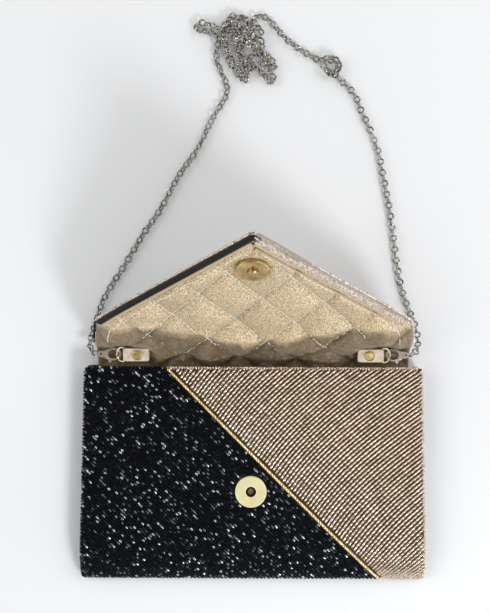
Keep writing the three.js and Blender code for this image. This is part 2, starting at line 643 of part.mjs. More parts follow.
const CHAIN_RIGHT = [
  [52.6, 238.8, CHAIN_Z], [57.9, 234.3, CHAIN_Z], [62.8, 227.3, CHAIN_Z], [65.2, 220.4, CHAIN_Z],
  [70.3, 210, CHAIN_Z], [76.1, 194.6, CHAIN_Z], [79.5, 177.5, CHAIN_Z], [82.6, 162.2, CHAIN_Z],
  [85.1, 145.6, CHAIN_Z], [87.5, 127.3, CHAIN_Z], [90.6, 111.3, CHAIN_Z], [94.4, 100.3, CHAIN_Z],
  [97.8, 92, CHAIN_Z], [100.0, 84.6, 2.7], [100.2, 78.6, 5.8], [98.2, 73.2, 11.6], [94.0, 70.9, 13.6],
];
const CHAIN_PILE = [
  [-39, 267.8], [-37.5, 272], [-30, 276.2], [-24.5, 273.4], [-20.5, 272], [-18, 279], [-13, 281], [-6, 280.4],
  [-3.4, 276], [-1, 272.4], [3, 270.4], [7.4, 265.4], [7.4, 257.5], [14, 249.5], [14.6, 243.5], [13, 234.4],
  [8, 235], [-2, 237.4], [-7, 234.8], [-13.5, 241], [-20.5, 238.2], [-24, 246], [-25.5, 256], [-25.5, 265.5],
];
const CHAIN_KNOT = [
  [41.6, 243.2], [41.2, 247], [42.8, 252], [46.5, 254.8], [51.5, 254.2], [55, 250.2], [55, 245.4],
  [53.4, 241.9], [50, 240.2], [45.4, 240.4],
];
const PILE_FOOT = 0.2;
const PILE_TOP = 8;
const KNOT_TOP = 8;

function lengthOf(points) {
  return new THREE.CatmullRomCurve3(points.map((p) => new THREE.Vector3(...p))).getLength();
}

function addChain() {
  const run = (name, points) => {
    const steps = Math.ceil(lengthOf(points) / CHAIN_STEP);
    add(purse, name, tube(points, CHAIN_DIAMETER / 2, CHAIN_SIDES, steps), 'silver');
  };
  run('chain_left', CHAIN_LEFT);
  run('chain_middle', CHAIN_MIDDLE);
  run('chain_right', CHAIN_RIGHT);
  add(purse, 'chain_pile', plate(shapeOf(CHAIN_PILE), PILE_FOOT, PILE_TOP), 'silver');
  add(purse, 'chain_knot', plate(shapeOf(CHAIN_KNOT), PILE_FOOT, KNOT_TOP), 'silver');
}

addBackPanel();
addFrontPanel();
addGussets();
addRim();
addFoldTape();
addFlap();
addSnapSocket();
for (const [side, label] of [[-1, 'left'], [1, 'right']]) {
  addTab(side, label);
  addClasp(side, label);
}
addChain();

export default purse;
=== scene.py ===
"""Beaded envelope clutch: beads, quilted lining, snap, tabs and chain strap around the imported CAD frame.

Lengths below are in millimetres, in the purse's own frame, and MM turns them into metres."""

import json
import math

import bpy
import numpy as np
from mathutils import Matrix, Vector, noise


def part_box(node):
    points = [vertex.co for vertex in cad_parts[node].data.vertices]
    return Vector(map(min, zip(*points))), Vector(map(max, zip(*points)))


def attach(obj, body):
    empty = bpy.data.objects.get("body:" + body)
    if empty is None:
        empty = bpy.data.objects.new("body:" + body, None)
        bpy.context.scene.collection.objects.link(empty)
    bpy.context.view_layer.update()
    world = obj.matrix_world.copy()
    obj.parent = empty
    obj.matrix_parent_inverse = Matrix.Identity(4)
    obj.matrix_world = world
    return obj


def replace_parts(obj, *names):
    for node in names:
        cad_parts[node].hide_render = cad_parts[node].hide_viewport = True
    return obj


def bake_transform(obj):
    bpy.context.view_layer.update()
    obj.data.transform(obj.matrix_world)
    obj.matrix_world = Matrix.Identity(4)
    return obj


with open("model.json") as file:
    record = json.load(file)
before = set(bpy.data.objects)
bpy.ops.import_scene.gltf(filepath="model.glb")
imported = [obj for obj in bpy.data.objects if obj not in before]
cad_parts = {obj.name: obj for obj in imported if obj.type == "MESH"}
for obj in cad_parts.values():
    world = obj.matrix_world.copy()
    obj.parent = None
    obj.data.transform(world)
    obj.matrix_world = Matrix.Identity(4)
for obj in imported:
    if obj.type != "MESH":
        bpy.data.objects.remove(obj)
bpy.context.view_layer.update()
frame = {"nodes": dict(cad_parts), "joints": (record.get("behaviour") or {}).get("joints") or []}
MM = 0.001
rng = np.random.default_rng(7)

# ---------- driving dimensions: some read from the frame, the rest given ---


def node_box(node):
    """A node's lowest and highest corners in millimetres."""
    low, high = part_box(node)
    return np.array(low) / MM, np.array(high) / MM


HALF_WIDTH = node_box("front_beading_black")[0][0] * -1
BOTTOM_Y = node_box("front_beading_black")[0][1]
MOUTH_Y = node_box("front_beading_black")[1][1]
FRONT_Z = node_box("front_beading_black")[1][2]
ROLL_LENGTH = 28.0
FOOT_Z = node_box("front_beading_black")[0][2]
RIM_HALF_WIDTH = node_box("rim_lining")[1][0]
RIM_TOP_Z = node_box("rim_lining")[1][2]
RIM_DEPTH = 17.0
LINING_FLOOR_Z = node_box("lining_back")[1][2]
LINING_DEPTH = 3.9

HINGE = next(j for j in frame["joints"] if j["name"] == "flap_hinge")
HINGE_Y = HINGE["pos_m"][1] / MM
HINGE_Z = HINGE["pos_m"][2] / MM
FLAP_ANGLE = math.radians(58)
FLAP_START = 5.0
FLAP_BASE_X = 94.8
FLAP_CORNER_X = 90.8
FLAP_CORNER_S = 31.3
FLAP_LENGTH = 115.4

SNAP_X, SNAP_Y, _ = sum(node_box("snap_socket_shell")) / 2
LINE_TOP_X = -51.9
LINE_BOTTOM_X = 76.5

BLACK_PITCH = 1.66
BLACK_RADIUS = 0.78
BLACK_LENGTH = 1.75
CHAMPAGNE_PITCH = 2.15
CHAMPAGNE_RADIUS = 0.74
CHAMPAGNE_LENGTH = 2.95
GOLD_RADIUS = 1.0
GOLD_LENGTH = 1.9

CHAIN_OUTER = 4.7
CHAIN_WIRE = 1.15
CHAIN_PITCH = 3.4
CHAIN_Z = 2.4

# ---------- materials ----------


class Shader:
    """A node material with a Principled shader and short ways to add nodes."""

    def __init__(self, name):
        self.material = bpy.data.materials.new(name)
        self.material.use_nodes = True
        self.tree = self.material.node_tree
        self.bsdf = self.tree.nodes["Principled BSDF"]

    def node(self, kind, **settings):
        made = self.tree.nodes.new(kind)
        for key, value in settings.items():
            if hasattr(made, key):
                setattr(made, key, value)
            else:
                made.inputs[key.replace("_", " ")].default_value = value
        return made

    def link(self, output, target):
        self.tree.links.new(output, target)

    def set(self, **values):
        for key, value in values.items():
            self.bsdf.inputs[key.replace("_", " ")].default_value = value

    def ramp(self, factor, *stops):
        made = self.node("ShaderNodeValToRGB")
        elements = made.color_ramp.elements
        while len(elements) < len(stops):
            elements.new(0.5)
        for element, (place, colour) in zip(elements, stops):
            element.position = place
            element.color = (*colour, 1)
        self.link(factor, made.inputs["Fac"])
        return made.outputs["Color"]

    def noise(self, scale, detail=4.0, rough=0.5, stretch=(1, 1, 1)):
        coords = self.node("ShaderNodeTexCoord")
        mapping = self.node("ShaderNodeMapping", Scale=stretch)
        self.link(coords.outputs["Object"], mapping.inputs["Vector"])
        made = self.node("ShaderNodeTexNoise", Scale=scale, Detail=detail, Roughness=rough)
        self.link(mapping.outputs["Vector"], made.inputs["Vector"])
        return made.outputs["Fac"]

    def map_range(self, value, low, high, start=0.0, end=1.0):
        made = self.node("ShaderNodeMapRange", From_Min=start, From_Max=end, To_Min=low, To_Max=high)
        self.link(value, made.inputs["Value"])
        return made.outputs["Result"]

    def math(self, operation, a, b):
        made = self.node("ShaderNodeMath", operation=operation)
        for socket, value in zip(made.inputs, (a, b)):
            if isinstance(value, (int, float)):
                socket.default_value = value
            else:
                self.link(value, socket)
        return made.outputs["Value"]

    def mix(self, factor, a, b):
        made = self.node("ShaderNodeMix", data_type="RGBA")
        self.link(factor, made.inputs["Factor"])
        for socket, value in ((made.inputs[6], a), (made.inputs[7], b)):
            if isinstance(value, tuple):
                socket.default_value = (*value, 1)
            else:
                self.link(value, socket)
        return made.outputs[2]

    def bump(self, height, strength, distance):
        made = self.node("ShaderNodeBump", Strength=strength, Distance=distance)
        self.link(height, made.inputs["Height"])
        self.link(made.outputs["Normal"], self.bsdf.inputs["Normal"])

    def island(self):
        return self.node("ShaderNodeNewGeometry").outputs["Random Per Island"]


def bead_material(name, dark, light, rough, metallic, coat):
    """Glass or metal beads: each bead has its own shade and gloss."""
    s = Shader(name)
    random = s.island()
    s.link(s.ramp(random, (0.0, dark), (1.0, light)), s.bsdf.inputs["Base Color"])
    s.link(s.map_range(random, rough[0], rough[1]), s.bsdf.inputs["Roughness"])
    s.set(Metallic=metallic, Coat_Weight=coat, Coat_Roughness=0.06)
    s.bump(s.noise(1800, 2), 0.15, 0.0001)
    return s.material


def jet_material():
    """Black glass beads, nearly all dull and dark; a few get a bright, metal-like colour as painted glints, which
    still catch the lamps.
    """
    s = Shader("black_beads")
    random = s.island()
    # The ramp's top stops are painted glints: a few beads get a bright colour where real black glass would only catch
    # light.
    colour = s.ramp(
        random, (0.0, (0.001, 0.0012, 0.002)), (0.66, (0.004, 0.005, 0.007)), (0.84, (0.03, 0.035, 0.045)),
        (0.94, (0.16, 0.18, 0.21)), (1.0, (0.65, 0.68, 0.72)))
    s.link(colour, s.bsdf.inputs["Base Color"])
    s.link(s.map_range(random, 0.30, 0.13), s.bsdf.inputs["Roughness"])
    s.link(s.map_range(random, 0.0, 0.95, 0.55, 0.70), s.bsdf.inputs["Metallic"])
    s.set(Specular_IOR_Level=0.10)
    s.bump(s.noise(1800, 2), 0.15, 0.0001)
    return s.material


def satin_material(name, dark, light, scale=900.0, sheen=0.2):
    s = Shader(name)
    weave = s.noise(scale, 3, 0.6, (1, 6, 1))
    s.link(s.ramp(weave, (0.3, dark), (0.75, light)), s.bsdf.inputs["Base Color"])
    s.set(Roughness=0.5, Sheen_Weight=sheen, Specular_IOR_Level=0.3)
    s.bump(weave, 0.35, 0.0001)
    return s.material


def silk_material(name, with_painted_shade=False):
    """Slubby shot silk: gold-beige, with slubs along the width and a faint colour shift. One with painted shade
    has its colour multiplied by the mesh's fold_shade, which holds painted shade and painted light."""
    s = Shader(name)
    slubs = s.noise(800, 5, 0.7, (2.2, 1, 1))
    threads = s.noise(1300, 3, 0.6, (1, 2.5, 2.5))
    patches = s.noise(190, 5, 0.65)
    base = s.ramp(slubs, (0.36, (0.15, 0.095, 0.045)), (0.49, (0.52, 0.385, 0.215)), (0.60, (1.0, 0.86, 0.56)))
    hue = s.ramp(patches, (0.36, (0.38, 0.39, 0.37)), (0.47, (0.60, 0.46, 0.29)), (0.54, (0.62, 0.47, 0.28)),
                 (0.64, (0.64, 0.35, 0.21)))
    silk = s.mix(s.map_range(threads, 0.05, 0.50, 0.35, 0.65), base, hue)
    if with_painted_shade:
        # fold_shade is painted shade and painted light, multiplied into the silk colour.
        shade = s.node("ShaderNodeAttribute", attribute_name="fold_shade")
        multiply = s.node("ShaderNodeMix", data_type="RGBA", blend_type="MULTIPLY")
        multiply.inputs["Factor"].default_value = 1.0
        s.link(silk, multiply.inputs[6])
        s.link(shade.outputs["Color"], multiply.inputs[7])
        silk = multiply.outputs[2]
    s.link(silk, s.bsdf.inputs["Base Color"])
    s.link(s.map_range(slubs, 0.55, 0.32), s.bsdf.inputs["Roughness"])
    s.set(Sheen_Weight=0.2, Specular_IOR_Level=0.55)
    s.bump(s.math("ADD", slubs, threads), 0.45, 0.00025)
    return s.material


def metal_material(name, dark, light, rough=(0.12, 0.28), anisotropic=0.0, scale=300.0, metallic=1.0):
    s = Shader(name)
    tarnish = s.noise(scale, 4)
    s.link(s.ramp(tarnish, (0.3, dark), (0.62, light)), s.bsdf.inputs["Base Color"])
    s.link(s.map_range(tarnish, rough[1], rough[0]), s.bsdf.inputs["Roughness"])
    s.set(Metallic=metallic, Anisotropic=anisotropic)
    if anisotropic:
        tangent = s.node("ShaderNodeTangent", direction_type="RADIAL", axis="Z")
        s.link(tangent.outputs["Tangent"], s.bsdf.inputs["Tangent"])
    s.bump(s.noise(scale * 4, 3), 0.12, 0.00008)
    return s.material


def leather_material():
    s = Shader("taupe_leather")
    grain = s.node("ShaderNodeTexVoronoi", Scale=1400.0)
    coords = s.node("ShaderNodeTexCoord")
    s.link(coords.outputs["Object"], grain.inputs["Vector"])
    tone = s.noise(260, 4)
    colour = s.ramp(tone, (0.3, (0.52, 0.42, 0.325)), (0.7, (0.84, 0.70, 0.555)))
    s.link(colour, s.bsdf.inputs["Base Color"])
    s.link(s.map_range(tone, 0.7, 0.5), s.bsdf.inputs["Roughness"])
    s.bump(grain.outputs["Distance"], 0.4, 0.0002)
    return s.material


def board_material():
    s = Shader("stiffener_board")
    fibre = s.noise(700, 5, 0.7, (1, 3, 3))
    s.link(s.ramp(fibre, (0.3, (0.30, 0.26, 0.21)), (0.7, (0.47, 0.42, 0.35))), s.bsdf.inputs["Base Color"])
    s.set(Roughness=0.9)
    s.bump(fibre, 0.4, 0.0002)
    return s.material


MATERIALS = {
    "black_beads": jet_material(),
    "champagne_beads": bead_material(
        "champagne_beads", (0.52, 0.40, 0.28), (0.80, 0.67, 0.53), (0.13, 0.24), 0.8, 1.0),
    "gold_beads": bead_material("gold_beads", (0.80, 0.50, 0.20), (1.0, 0.80, 0.46), (0.12, 0.25), 0.8, 0.6),
    "pearl_beads": bead_material("pearl_beads", (0.60, 0.47, 0.39), (1.0, 0.93, 0.84), (0.20, 0.40), 0.2, 0.6),
    "black_satin": satin_material("black_satin", (0.001, 0.001, 0.0015), (0.006, 0.006, 0.008), sheen=0.0),
    "black_ground": satin_material("black_ground", (0.001, 0.001, 0.0015), (0.005, 0.005, 0.007), sheen=0.0),
    "brown_ground": satin_material("brown_ground", (0.022, 0.012, 0.006), (0.07, 0.04, 0.022)),
    "silk": silk_material("shot_silk"),
    "quilted_silk": silk_material("quilted_silk", with_painted_shade=True),
    "facing": satin_material("silk_facing", (0.36, 0.26, 0.16), (0.78, 0.64, 0.45)),
    "pearl_cloth": satin_material("pearl_cloth", (0.58, 0.46, 0.38), (0.98, 0.90, 0.80)),
    "thread": satin_material("cream_thread", (0.78, 0.68, 0.50), (1.0, 0.95, 0.80), 2500.0),
    "brass": metal_material("pale_brass", (1.0, 0.82, 0.45), (1.0, 0.97, 0.58), (0.20, 0.32), 0.6, 130.0, 0.3),
    "dark_brass": metal_material("aged_brass", (0.40, 0.28, 0.13), (0.74, 0.55, 0.28), (0.2, 0.36), 0.5, 160.0),
    "silver": metal_material("antique_silver", (0.035, 0.032, 0.028), (0.55, 0.52, 0.47), (0.14, 0.34), 0.0, 700.0),
    "bright_silver": metal_material(
        "bright_silver", (0.80, 0.79, 0.77), (1.0, 0.99, 0.97), (0.08, 0.18), metallic=0.85),
    "matte_brass": metal_material("matte_brass", (0.34, 0.25, 0.09), (0.60, 0.47, 0.22), (0.42, 0.6), metallic=0.8),
    "iron": metal_material("plated_iron", (0.10, 0.095, 0.09), (0.26, 0.25, 0.24), (0.3, 0.5)),
    "leather": leather_material(),
    "board": board_material(),
}

# ---------- mesh making ----------


def mesh_piece(name, points, quads, material, body=None, smooth=True):
    """A piece from points in millimetres and an array of four-cornered faces."""
    points = np.asarray(points, dtype=np.float64)
    quads = np.asarray(quads, dtype=np.int32)
    mesh = bpy.data.meshes.new(name)
    mesh.vertices.add(len(points))
    mesh.vertices.foreach_set("co", (points * MM).ravel())
    mesh.loops.add(quads.size)
    mesh.loops.foreach_set("vertex_index", quads.ravel())
    mesh.polygons.add(len(quads))
    mesh.polygons.foreach_set("loop_start", np.arange(0, quads.size, 4, dtype=np.int32))
    mesh.update(calc_edges=True)
    mesh.polygons.foreach_set("use_smooth", np.full(len(quads), smooth))
    mesh.materials.append(MATERIALS[material])
    piece = bpy.data.objects.new(name, mesh)
    bpy.context.scene.collection.objects.link(piece)
    if body:
        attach(piece, body)
    return piece


def unit(vectors):
    return vectors / np.maximum(np.linalg.norm(vectors, axis=-1, keepdims=True), 1e-9)


def tube_faces(rings, sides, closed=False, flip=False):
    """Faces round a tube, ring by ring. A closed one joins its last ring to its first."""
    faces = []
    for i in range(rings if closed else rings - 1):
        here, there = i * sides, (i + 1) % rings * sides
        for j in range(sides):
            k = (j + 1) % sides
            faces.append((here + j, there + j, there + k, here + k))
    return np.array(faces)[:, [0, 3, 2, 1]] if flip else np.array(faces)


SEED_PROFILE = np.array([(-0.5, 0.84), (-0.42, 1.0), (0.42, 1.0), (0.5, 0.84)])
BUGLE_PROFILE = np.array([(-0.5, 0.9), (-0.45, 1.0), (0.45, 1.0), (0.5, 0.9)])


def bead_geometry(centres, along, up, radius, length, sides=6, tilt=0.06, profile=SEED_PROFILE):
    """Points and faces of many short open tubes, each with rounded ends and a small tilt of its own."""
    centres = np.asarray(centres, dtype=float)
    count = len(centres)
    along = unit(np.asarray(along, dtype=float) + tilt * rng.standard_normal((count, 3)))
    across = unit(np.cross(along, up))
    up = np.cross(across, along)
    grow = 1 + 0.05 * rng.standard_normal((count, 1, 1, 1))
    turn = rng.random(count) * 2 * math.pi / sides
    angle = turn[:, None] + np.arange(sides) * 2 * math.pi / sides
    ring = (
        np.cos(angle)[:, None, :, None] * up[:, None, None, :]
        + np.sin(angle)[:, None, :, None] * across[:, None, None, :]
    )
    swell = profile[None, :, None, None, 1] * radius * grow
    slide = profile[None, :, None, None, 0] * np.asarray(length).reshape(-1, 1, 1, 1)
    points = centres[:, None, None, :] + slide * along[:, None, None, :] + swell * ring
    rings = len(profile)
    quads = tube_faces(rings, sides)[None] + (np.arange(count) * rings * sides)[:, None, None]
    return points.reshape(-1, 3), quads.reshape(-1, 4)


def bead_piece(name, rows, radius, length, material, body=None, **options):
    """rows is a list of (centres, along, up) arrays."""
    centres = np.concatenate([row[0] for row in rows])
    along = np.concatenate([row[1] for row in rows])
    up = np.concatenate([row[2] for row in rows])
    points, quads = bead_geometry(centres, along, up, radius, length, **options)
    return mesh_piece(name, points, quads, material, body)


def running(steps):
    """Distance from the start at each corner, from the lengths between them."""
    return np.concatenate([[0], np.cumsum(steps)])


def along_curve(places, reach, curve):
    """Points of a polyline at distances from its start. reach is the distance of each of its corners."""
    return np.stack([np.interp(places, reach, curve[:, i]) for i in range(3)], axis=1)


def row_on_curve(curve, ups, spacing, start=0.5):
    """Bead places at equal steps along a polyline, with the curve's direction and the surface's normal."""
    curve = np.asarray(curve, dtype=float)
    reach = running(np.linalg.norm(np.diff(curve, axis=0), axis=1))
    if reach[-1] < spacing * 0.6:
        return None
    places = np.arange(start * spacing, reach[-1] - 0.1 * spacing, spacing)
    if len(places) == 0:
        return None
    direction = along_curve(places + 0.4, reach, curve) - along_curve(places - 0.4, reach, curve)
    return along_curve(places, reach, curve), unit(direction), unit(along_curve(places, reach, ups))


def sheet_grid(rows, columns):
    """Faces of a grid of rows x columns points."""
    i, j = np.meshgrid(np.arange(rows - 1), np.arange(columns - 1), indexing="ij")
    corner = (i * columns + j).ravel()
    return np.stack([corner, corner + 1, corner + columns + 1, corner + columns], axis=1)


def solidify(piece, thickness, offset=-1.0):
    modifier = piece.modifiers.new("thickness", "SOLIDIFY")
    modifier.thickness = thickness * MM
    modifier.offset = offset


# ---------- surfaces ----------


def line_x(y):
    """Where the front's line of gold beads crosses the height y."""
    return LINE_TOP_X + (MOUTH_Y - y) * (LINE_BOTTOM_X - LINE_TOP_X) / (MOUTH_Y - BOTTOM_Y)


def front_place(x, along, depth):
    """Points and normals of the front, depth below its outer face. along runs from the mouth, by arc length."""
    x, along = np.broadcast_arrays(np.asarray(x, dtype=float), np.asarray(along, dtype=float))
    y = np.interp(along, FRONT_REACH, FRONT_Y)
    z = np.interp(along, FRONT_REACH, FRONT_HEIGHT)
    tilt = np.interp(along, FRONT_REACH, FRONT_TILT)
    normal = np.stack([np.zeros_like(y), -np.sin(tilt), np.cos(tilt)], axis=-1)
    edge = np.clip((np.abs(x) - (HALF_WIDTH - 4)) / 4, 0, 1)
    droop = 1.6 * (1 - np.sqrt(1 - (0.96 * edge) ** 2))
    crown = 0.5 * np.cos(np.clip(x / HALF_WIDTH, -1, 1) * math.pi / 2) * np.clip(along / 40, 0, 1)
    spread = 1 + 0.02 * np.clip(along / 110, 0, 1) ** 1.5
    normal = normal + np.stack([np.sign(x) * edge * 0.9, np.zeros_like(y), np.zeros_like(y)], axis=-1)
    points = np.stack([x * spread, y, z - droop + crown], axis=-1)
    normal = unit(normal)
    return points - normal * depth, normal


def front_profile():
    """The front's outer face in Y and Z, with its arc length and its slope."""
    roll_y = BOTTOM_Y + ROLL_LENGTH
    height = FRONT_Z - FOOT_Z
    angles = np.linspace(0, math.pi / 2, 60)
    y = np.concatenate([[MOUTH_Y], roll_y - ROLL_LENGTH * np.sin(angles)])
    z = np.concatenate([[FRONT_Z], FOOT_Z + height * np.cos(angles)])
    slope = np.arctan2(height * np.sin(angles), ROLL_LENGTH * np.cos(angles))
    tilt = np.concatenate([[0.0], slope])
    reach = running(np.hypot(np.diff(y), np.diff(z)))
    return reach, y, z, tilt


FRONT_REACH, FRONT_Y, FRONT_HEIGHT, FRONT_TILT = front_profile()
FRONT_LENGTH = FRONT_REACH[-1]


def rim_arc(depth, count):
    """The rim's face in Y and Z, depth inside its outer face, with outward normals."""
    angles = np.linspace(0, math.pi / 2, count)
    y = MOUTH_Y + (RIM_DEPTH - depth) * np.sin(angles)
    z = RIM_TOP_Z - (RIM_TOP_Z - depth) * np.cos(angles)
    return y, z, np.sin(angles), -np.cos(angles)


ALONG_FLAP = np.array([0, math.cos(FLAP_ANGLE), math.sin(FLAP_ANGLE)])
INTO_FLAP = np.array([0, -math.sin(FLAP_ANGLE), math.cos(FLAP_ANGLE)])


def flap_skew(s):
    """The flap's tip sits a little left of the middle."""
    return -1.4 * np.clip((np.asarray(s) - FLAP_CORNER_S) / 85, 0, 1)


def flap_place(x, s, n):
    """A point of the flap: x across, s from the hinge line, n above its middle plane on the lining's side."""
    x, s, n = np.broadcast_arrays(*(np.asarray(v, dtype=float) for v in (x, s, n)))
    origin = np.array([0, HINGE_Y, HINGE_Z])
    points = origin + s[..., None] * ALONG_FLAP + n[..., None] * INTO_FLAP
    points[..., 0] = x + flap_skew(s)
    return points


def flap_half_width(s, inset=0.0):
    """Half the flap's width at s, moved in by inset, with round corners."""
    side = FLAP_BASE_X - (FLAP_BASE_X - FLAP_CORNER_X) * s / FLAP_CORNER_S - inset
    slope = FLAP_CORNER_X / (FLAP_LENGTH - FLAP_CORNER_S)
    slant = (FLAP_LENGTH - s) * slope - inset * math.hypot(1, slope)
    blend = 2.5
    low = np.minimum(side, slant)
    return np.maximum(low - blend * np.exp(-np.abs(side - slant) / (2 * blend)) * 0.6, 0.0)


def outer_profile(depth):
    """The back, rim and flap's outside as one line in Y and Z: arc length, Y, Z and outward normal."""
    y_rim, z_rim, ny_rim, nz_rim = rim_arc(depth, 24)
    n = -3.1 + depth
    starts = flap_place(0.0, FLAP_START, n)
    ends = flap_place(0.0, FLAP_LENGTH, n)
    y = np.concatenate([[BOTTOM_Y + 0.6], y_rim, [starts[1], ends[1]]])
    z = np.concatenate([[depth], z_rim, [starts[2], ends[2]]])
    ny = np.concatenate([[0], ny_rim, [-INTO_FLAP[1]] * 2])
    nz = np.concatenate([[-1], nz_rim, [-INTO_FLAP[2]] * 2])
    reach = running(np.hypot(np.diff(y), np.diff(z)))
    return reach, y, z, ny, nz


def outer_place(x, along, profile):
    reach, y, z, ny, nz = profile
    x, along = np.broadcast_arrays(np.asarray(x, dtype=float), np.asarray(along, dtype=float))
    skewed = x + flap_skew(FLAP_START + along - reach[-2])
    points = np.stack([skewed, np.interp(along, reach, y), np.interp(along, reach, z)], axis=-1)
    normals = np.stack(
        [np.zeros_like(x), np.interp(along, reach, ny), np.interp(along, reach, nz)], axis=-1)
    return points, unit(normals)


OUTER = outer_profile(0.85)
OUTER_LENGTH = OUTER[0][-1]
BACK_END = OUTER[0][1]
FLAP_FROM = OUTER[0][-2]
FOLD_FROM = OUTER[0][-3] - 4.0


def outer_half_width(along):
    flap_s = FLAP_START + (along - FLAP_FROM)
    flap = flap_half_width(np.maximum(flap_s, 0), 0.9)
    return np.where(along < BACK_END, HALF_WIDTH - 0.8, np.where(along < FLAP_FROM, RIM_HALF_WIDTH - 0.8, flap))


def outer_line_x(along):
    """The back's line of gold beads: down the middle of the flap and rim, then a diagonal over the back."""
    share = np.clip((BACK_END - along) / BACK_END, 0, 1)
    return LINE_BOTTOM_X * share


# ---------- beads ----------

BLEND_START = flap_place(0.0, -7.0, 0.0) * MM
BLEND_END = flap_place(0.0, 8.0, 0.0) * MM


def cross_hinge(piece):
    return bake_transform(piece)


def kept_runs(curve, ups, keep):
    """The runs of a polyline whose points are kept."""
    runs = []
    start = None
    for i, flag in enumerate(list(keep) + [False]):
        if flag and start is None:
            start = i
        elif not flag and start is not None:
            if i - start > 1:
                runs.append((curve[start:i], ups[start:i]))
            start = None
    return runs


def rows_on_runs(curve, ups, keep, spacing, first, spread):
    """Bead rows on a line's kept runs. Each starts at its own part of a step."""
    rows = []
    for run, run_ups in kept_runs(curve, ups, keep):
        row = row_on_curve(run, run_ups, spacing, first + spread * rng.random())
        if row:
            rows.append(row)
    return rows


def black_front_rows():
    """Rows beside the gold line and parallel to it."""
    rows = []
    along = np.linspace(1.0, FRONT_LENGTH - 0.8, 160)
    y = np.interp(along, FRONT_REACH, FRONT_Y)
    step = BLACK_PITCH * math.sqrt(2)
    first = (GOLD_RADIUS + BLACK_RADIUS) * math.sqrt(2)
    count = int((LINE_BOTTOM_X + HALF_WIDTH) / step) + 1
    for k in range(count):
        x = line_x(y) - first - k * step
        curve, ups = front_place(x, along, BLACK_RADIUS)
        radius = np.hypot(x - SNAP_X, y - SNAP_Y)
        keep = (x > -HALF_WIDTH + 0.2) & (radius > 9.8)
        rows += rows_on_runs(curve, ups, keep, BLACK_LENGTH + 0.06, 0.3, 0.5)
    return rows


def champagne_curve(length):
    """One row in the plane of the front, from the gold line outwards: it leaves steeply and flattens."""
    points = [np.zeros(2)]
    step = 1.0
    for _ in range(int(length / step)):
        away = (points[-1][0] + points[-1][1]) / math.sqrt(2)
        angle = math.radians(30 + 24 * math.exp(-away / 50))
        points.append(points[-1] + step * np.array([math.cos(angle), math.sin(angle)]))
    return np.array(points)


def champagne_front_rows():
    rows = []
    base = champagne_curve(190)
    slope = (LINE_BOTTOM_X - LINE_TOP_X) / FRONT_LENGTH
    gap = (GOLD_RADIUS + 0.6) * math.sqrt(2)
    spacing = CHAMPAGNE_PITCH
    for k in range(-2, 110):
        d = k * spacing * 0.72
        x = LINE_TOP_X + gap + d * slope + base[:, 0]
        along = d - base[:, 1]
        y = np.interp(along, FRONT_REACH, FRONT_Y)
        x = x + (line_x(y) - (LINE_TOP_X + along * slope))
        keep = (along > 0.2) & (along < FRONT_LENGTH - 0.6) & (x < HALF_WIDTH - 0.1)
        curve, ups = front_place(x, along, CHAMPAGNE_RADIUS)
        rows += rows_on_runs(curve, ups, keep, CHAMPAGNE_LENGTH + 0.1, 0.5, 0.3)
    return rows


def gold_row(curve, ups):
    return [row_on_curve(curve, ups, GOLD_LENGTH + 0.05)]


def make_front():
    bead_piece("front_black_beads", black_front_rows(), BLACK_RADIUS, BLACK_LENGTH, "black_beads", "purse", tilt=0.13)
    bead_piece("front_champagne_beads", champagne_front_rows(), CHAMPAGNE_RADIUS, CHAMPAGNE_LENGTH,
               "champagne_beads", "purse", tilt=0.018, sides=8, profile=BUGLE_PROFILE)
    along = np.linspace(0.5, FRONT_LENGTH - 1, 160)
    curve, ups = front_place(line_x(np.interp(along, FRONT_REACH, FRONT_Y)), along, GOLD_RADIUS - 0.5)
    gold = bead_piece("front_gold_beads", gold_row(curve, ups), GOLD_RADIUS, GOLD_LENGTH, "gold_beads", "purse",
                      tilt=0.02, sides=8)
    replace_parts(gold, "front_gold_bead_line")
    for name, colour, node in (
        ("front_black_ground", "black_ground", "front_beading_black"),
        ("front_champagne_ground", "brown_ground", "front_beading_champagne"),
    ):
        rows, columns = 70, 60
        along = np.linspace(0, FRONT_LENGTH, rows)[:, None]
        middle = line_x(np.interp(along, FRONT_REACH, FRONT_Y))
        share = np.linspace(0, 1, columns)[None, :]
        if colour == "black_ground":
            x = -HALF_WIDTH + 0.4 + (middle + HALF_WIDTH - 0.4) * share
        else:
            x = middle + (HALF_WIDTH - 0.4 - middle) * share
        points, _ = front_place(x, along + 0 * x, 1.3)
        ground = mesh_piece(name, points.reshape(-1, 3), sheet_grid(rows, columns), colour, "purse")
        solidify(ground, 0.4, 1.0)
        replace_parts(ground, node)


def edge_beads():
    """A picot of small beads standing along the front's mouth and sides."""
    rows = []
    for side in (-1, 1):
        along = np.linspace(2, FRONT_LENGTH - 2, 150)
        curve, ups = front_place(side * (HALF_WIDTH - 0.1), along, 1.7)
        rows.append((side, row_on_curve(curve, ups, 1.9)))
    x = np.linspace(-HALF_WIDTH + 2, HALF_WIDTH - 2, 200)
    curve, ups = front_place(x, 0.1, 1.7)
    rows.append((0, row_on_curve(curve, ups, 1.7)))
    black, champagne = [], []
    for side, (centres, along, up) in rows:
        across = unit(np.cross(along, up))
        if side == 0:
            left = centres[:, 0] < LINE_TOP_X
        else:
            left = np.full(len(centres), side < 0)
        for flag, target in ((left, black), (~left, champagne)):
            if flag.any():
                target.append((centres[flag], across[flag], up[flag]))
    bead_piece("edge_black_beads", black, 0.8, 1.9, "black_beads", "purse", tilt=0.2)
    bead_piece("edge_champagne_beads", champagne, 0.85, 2.0, "champagne_beads", "purse", tilt=0.2)


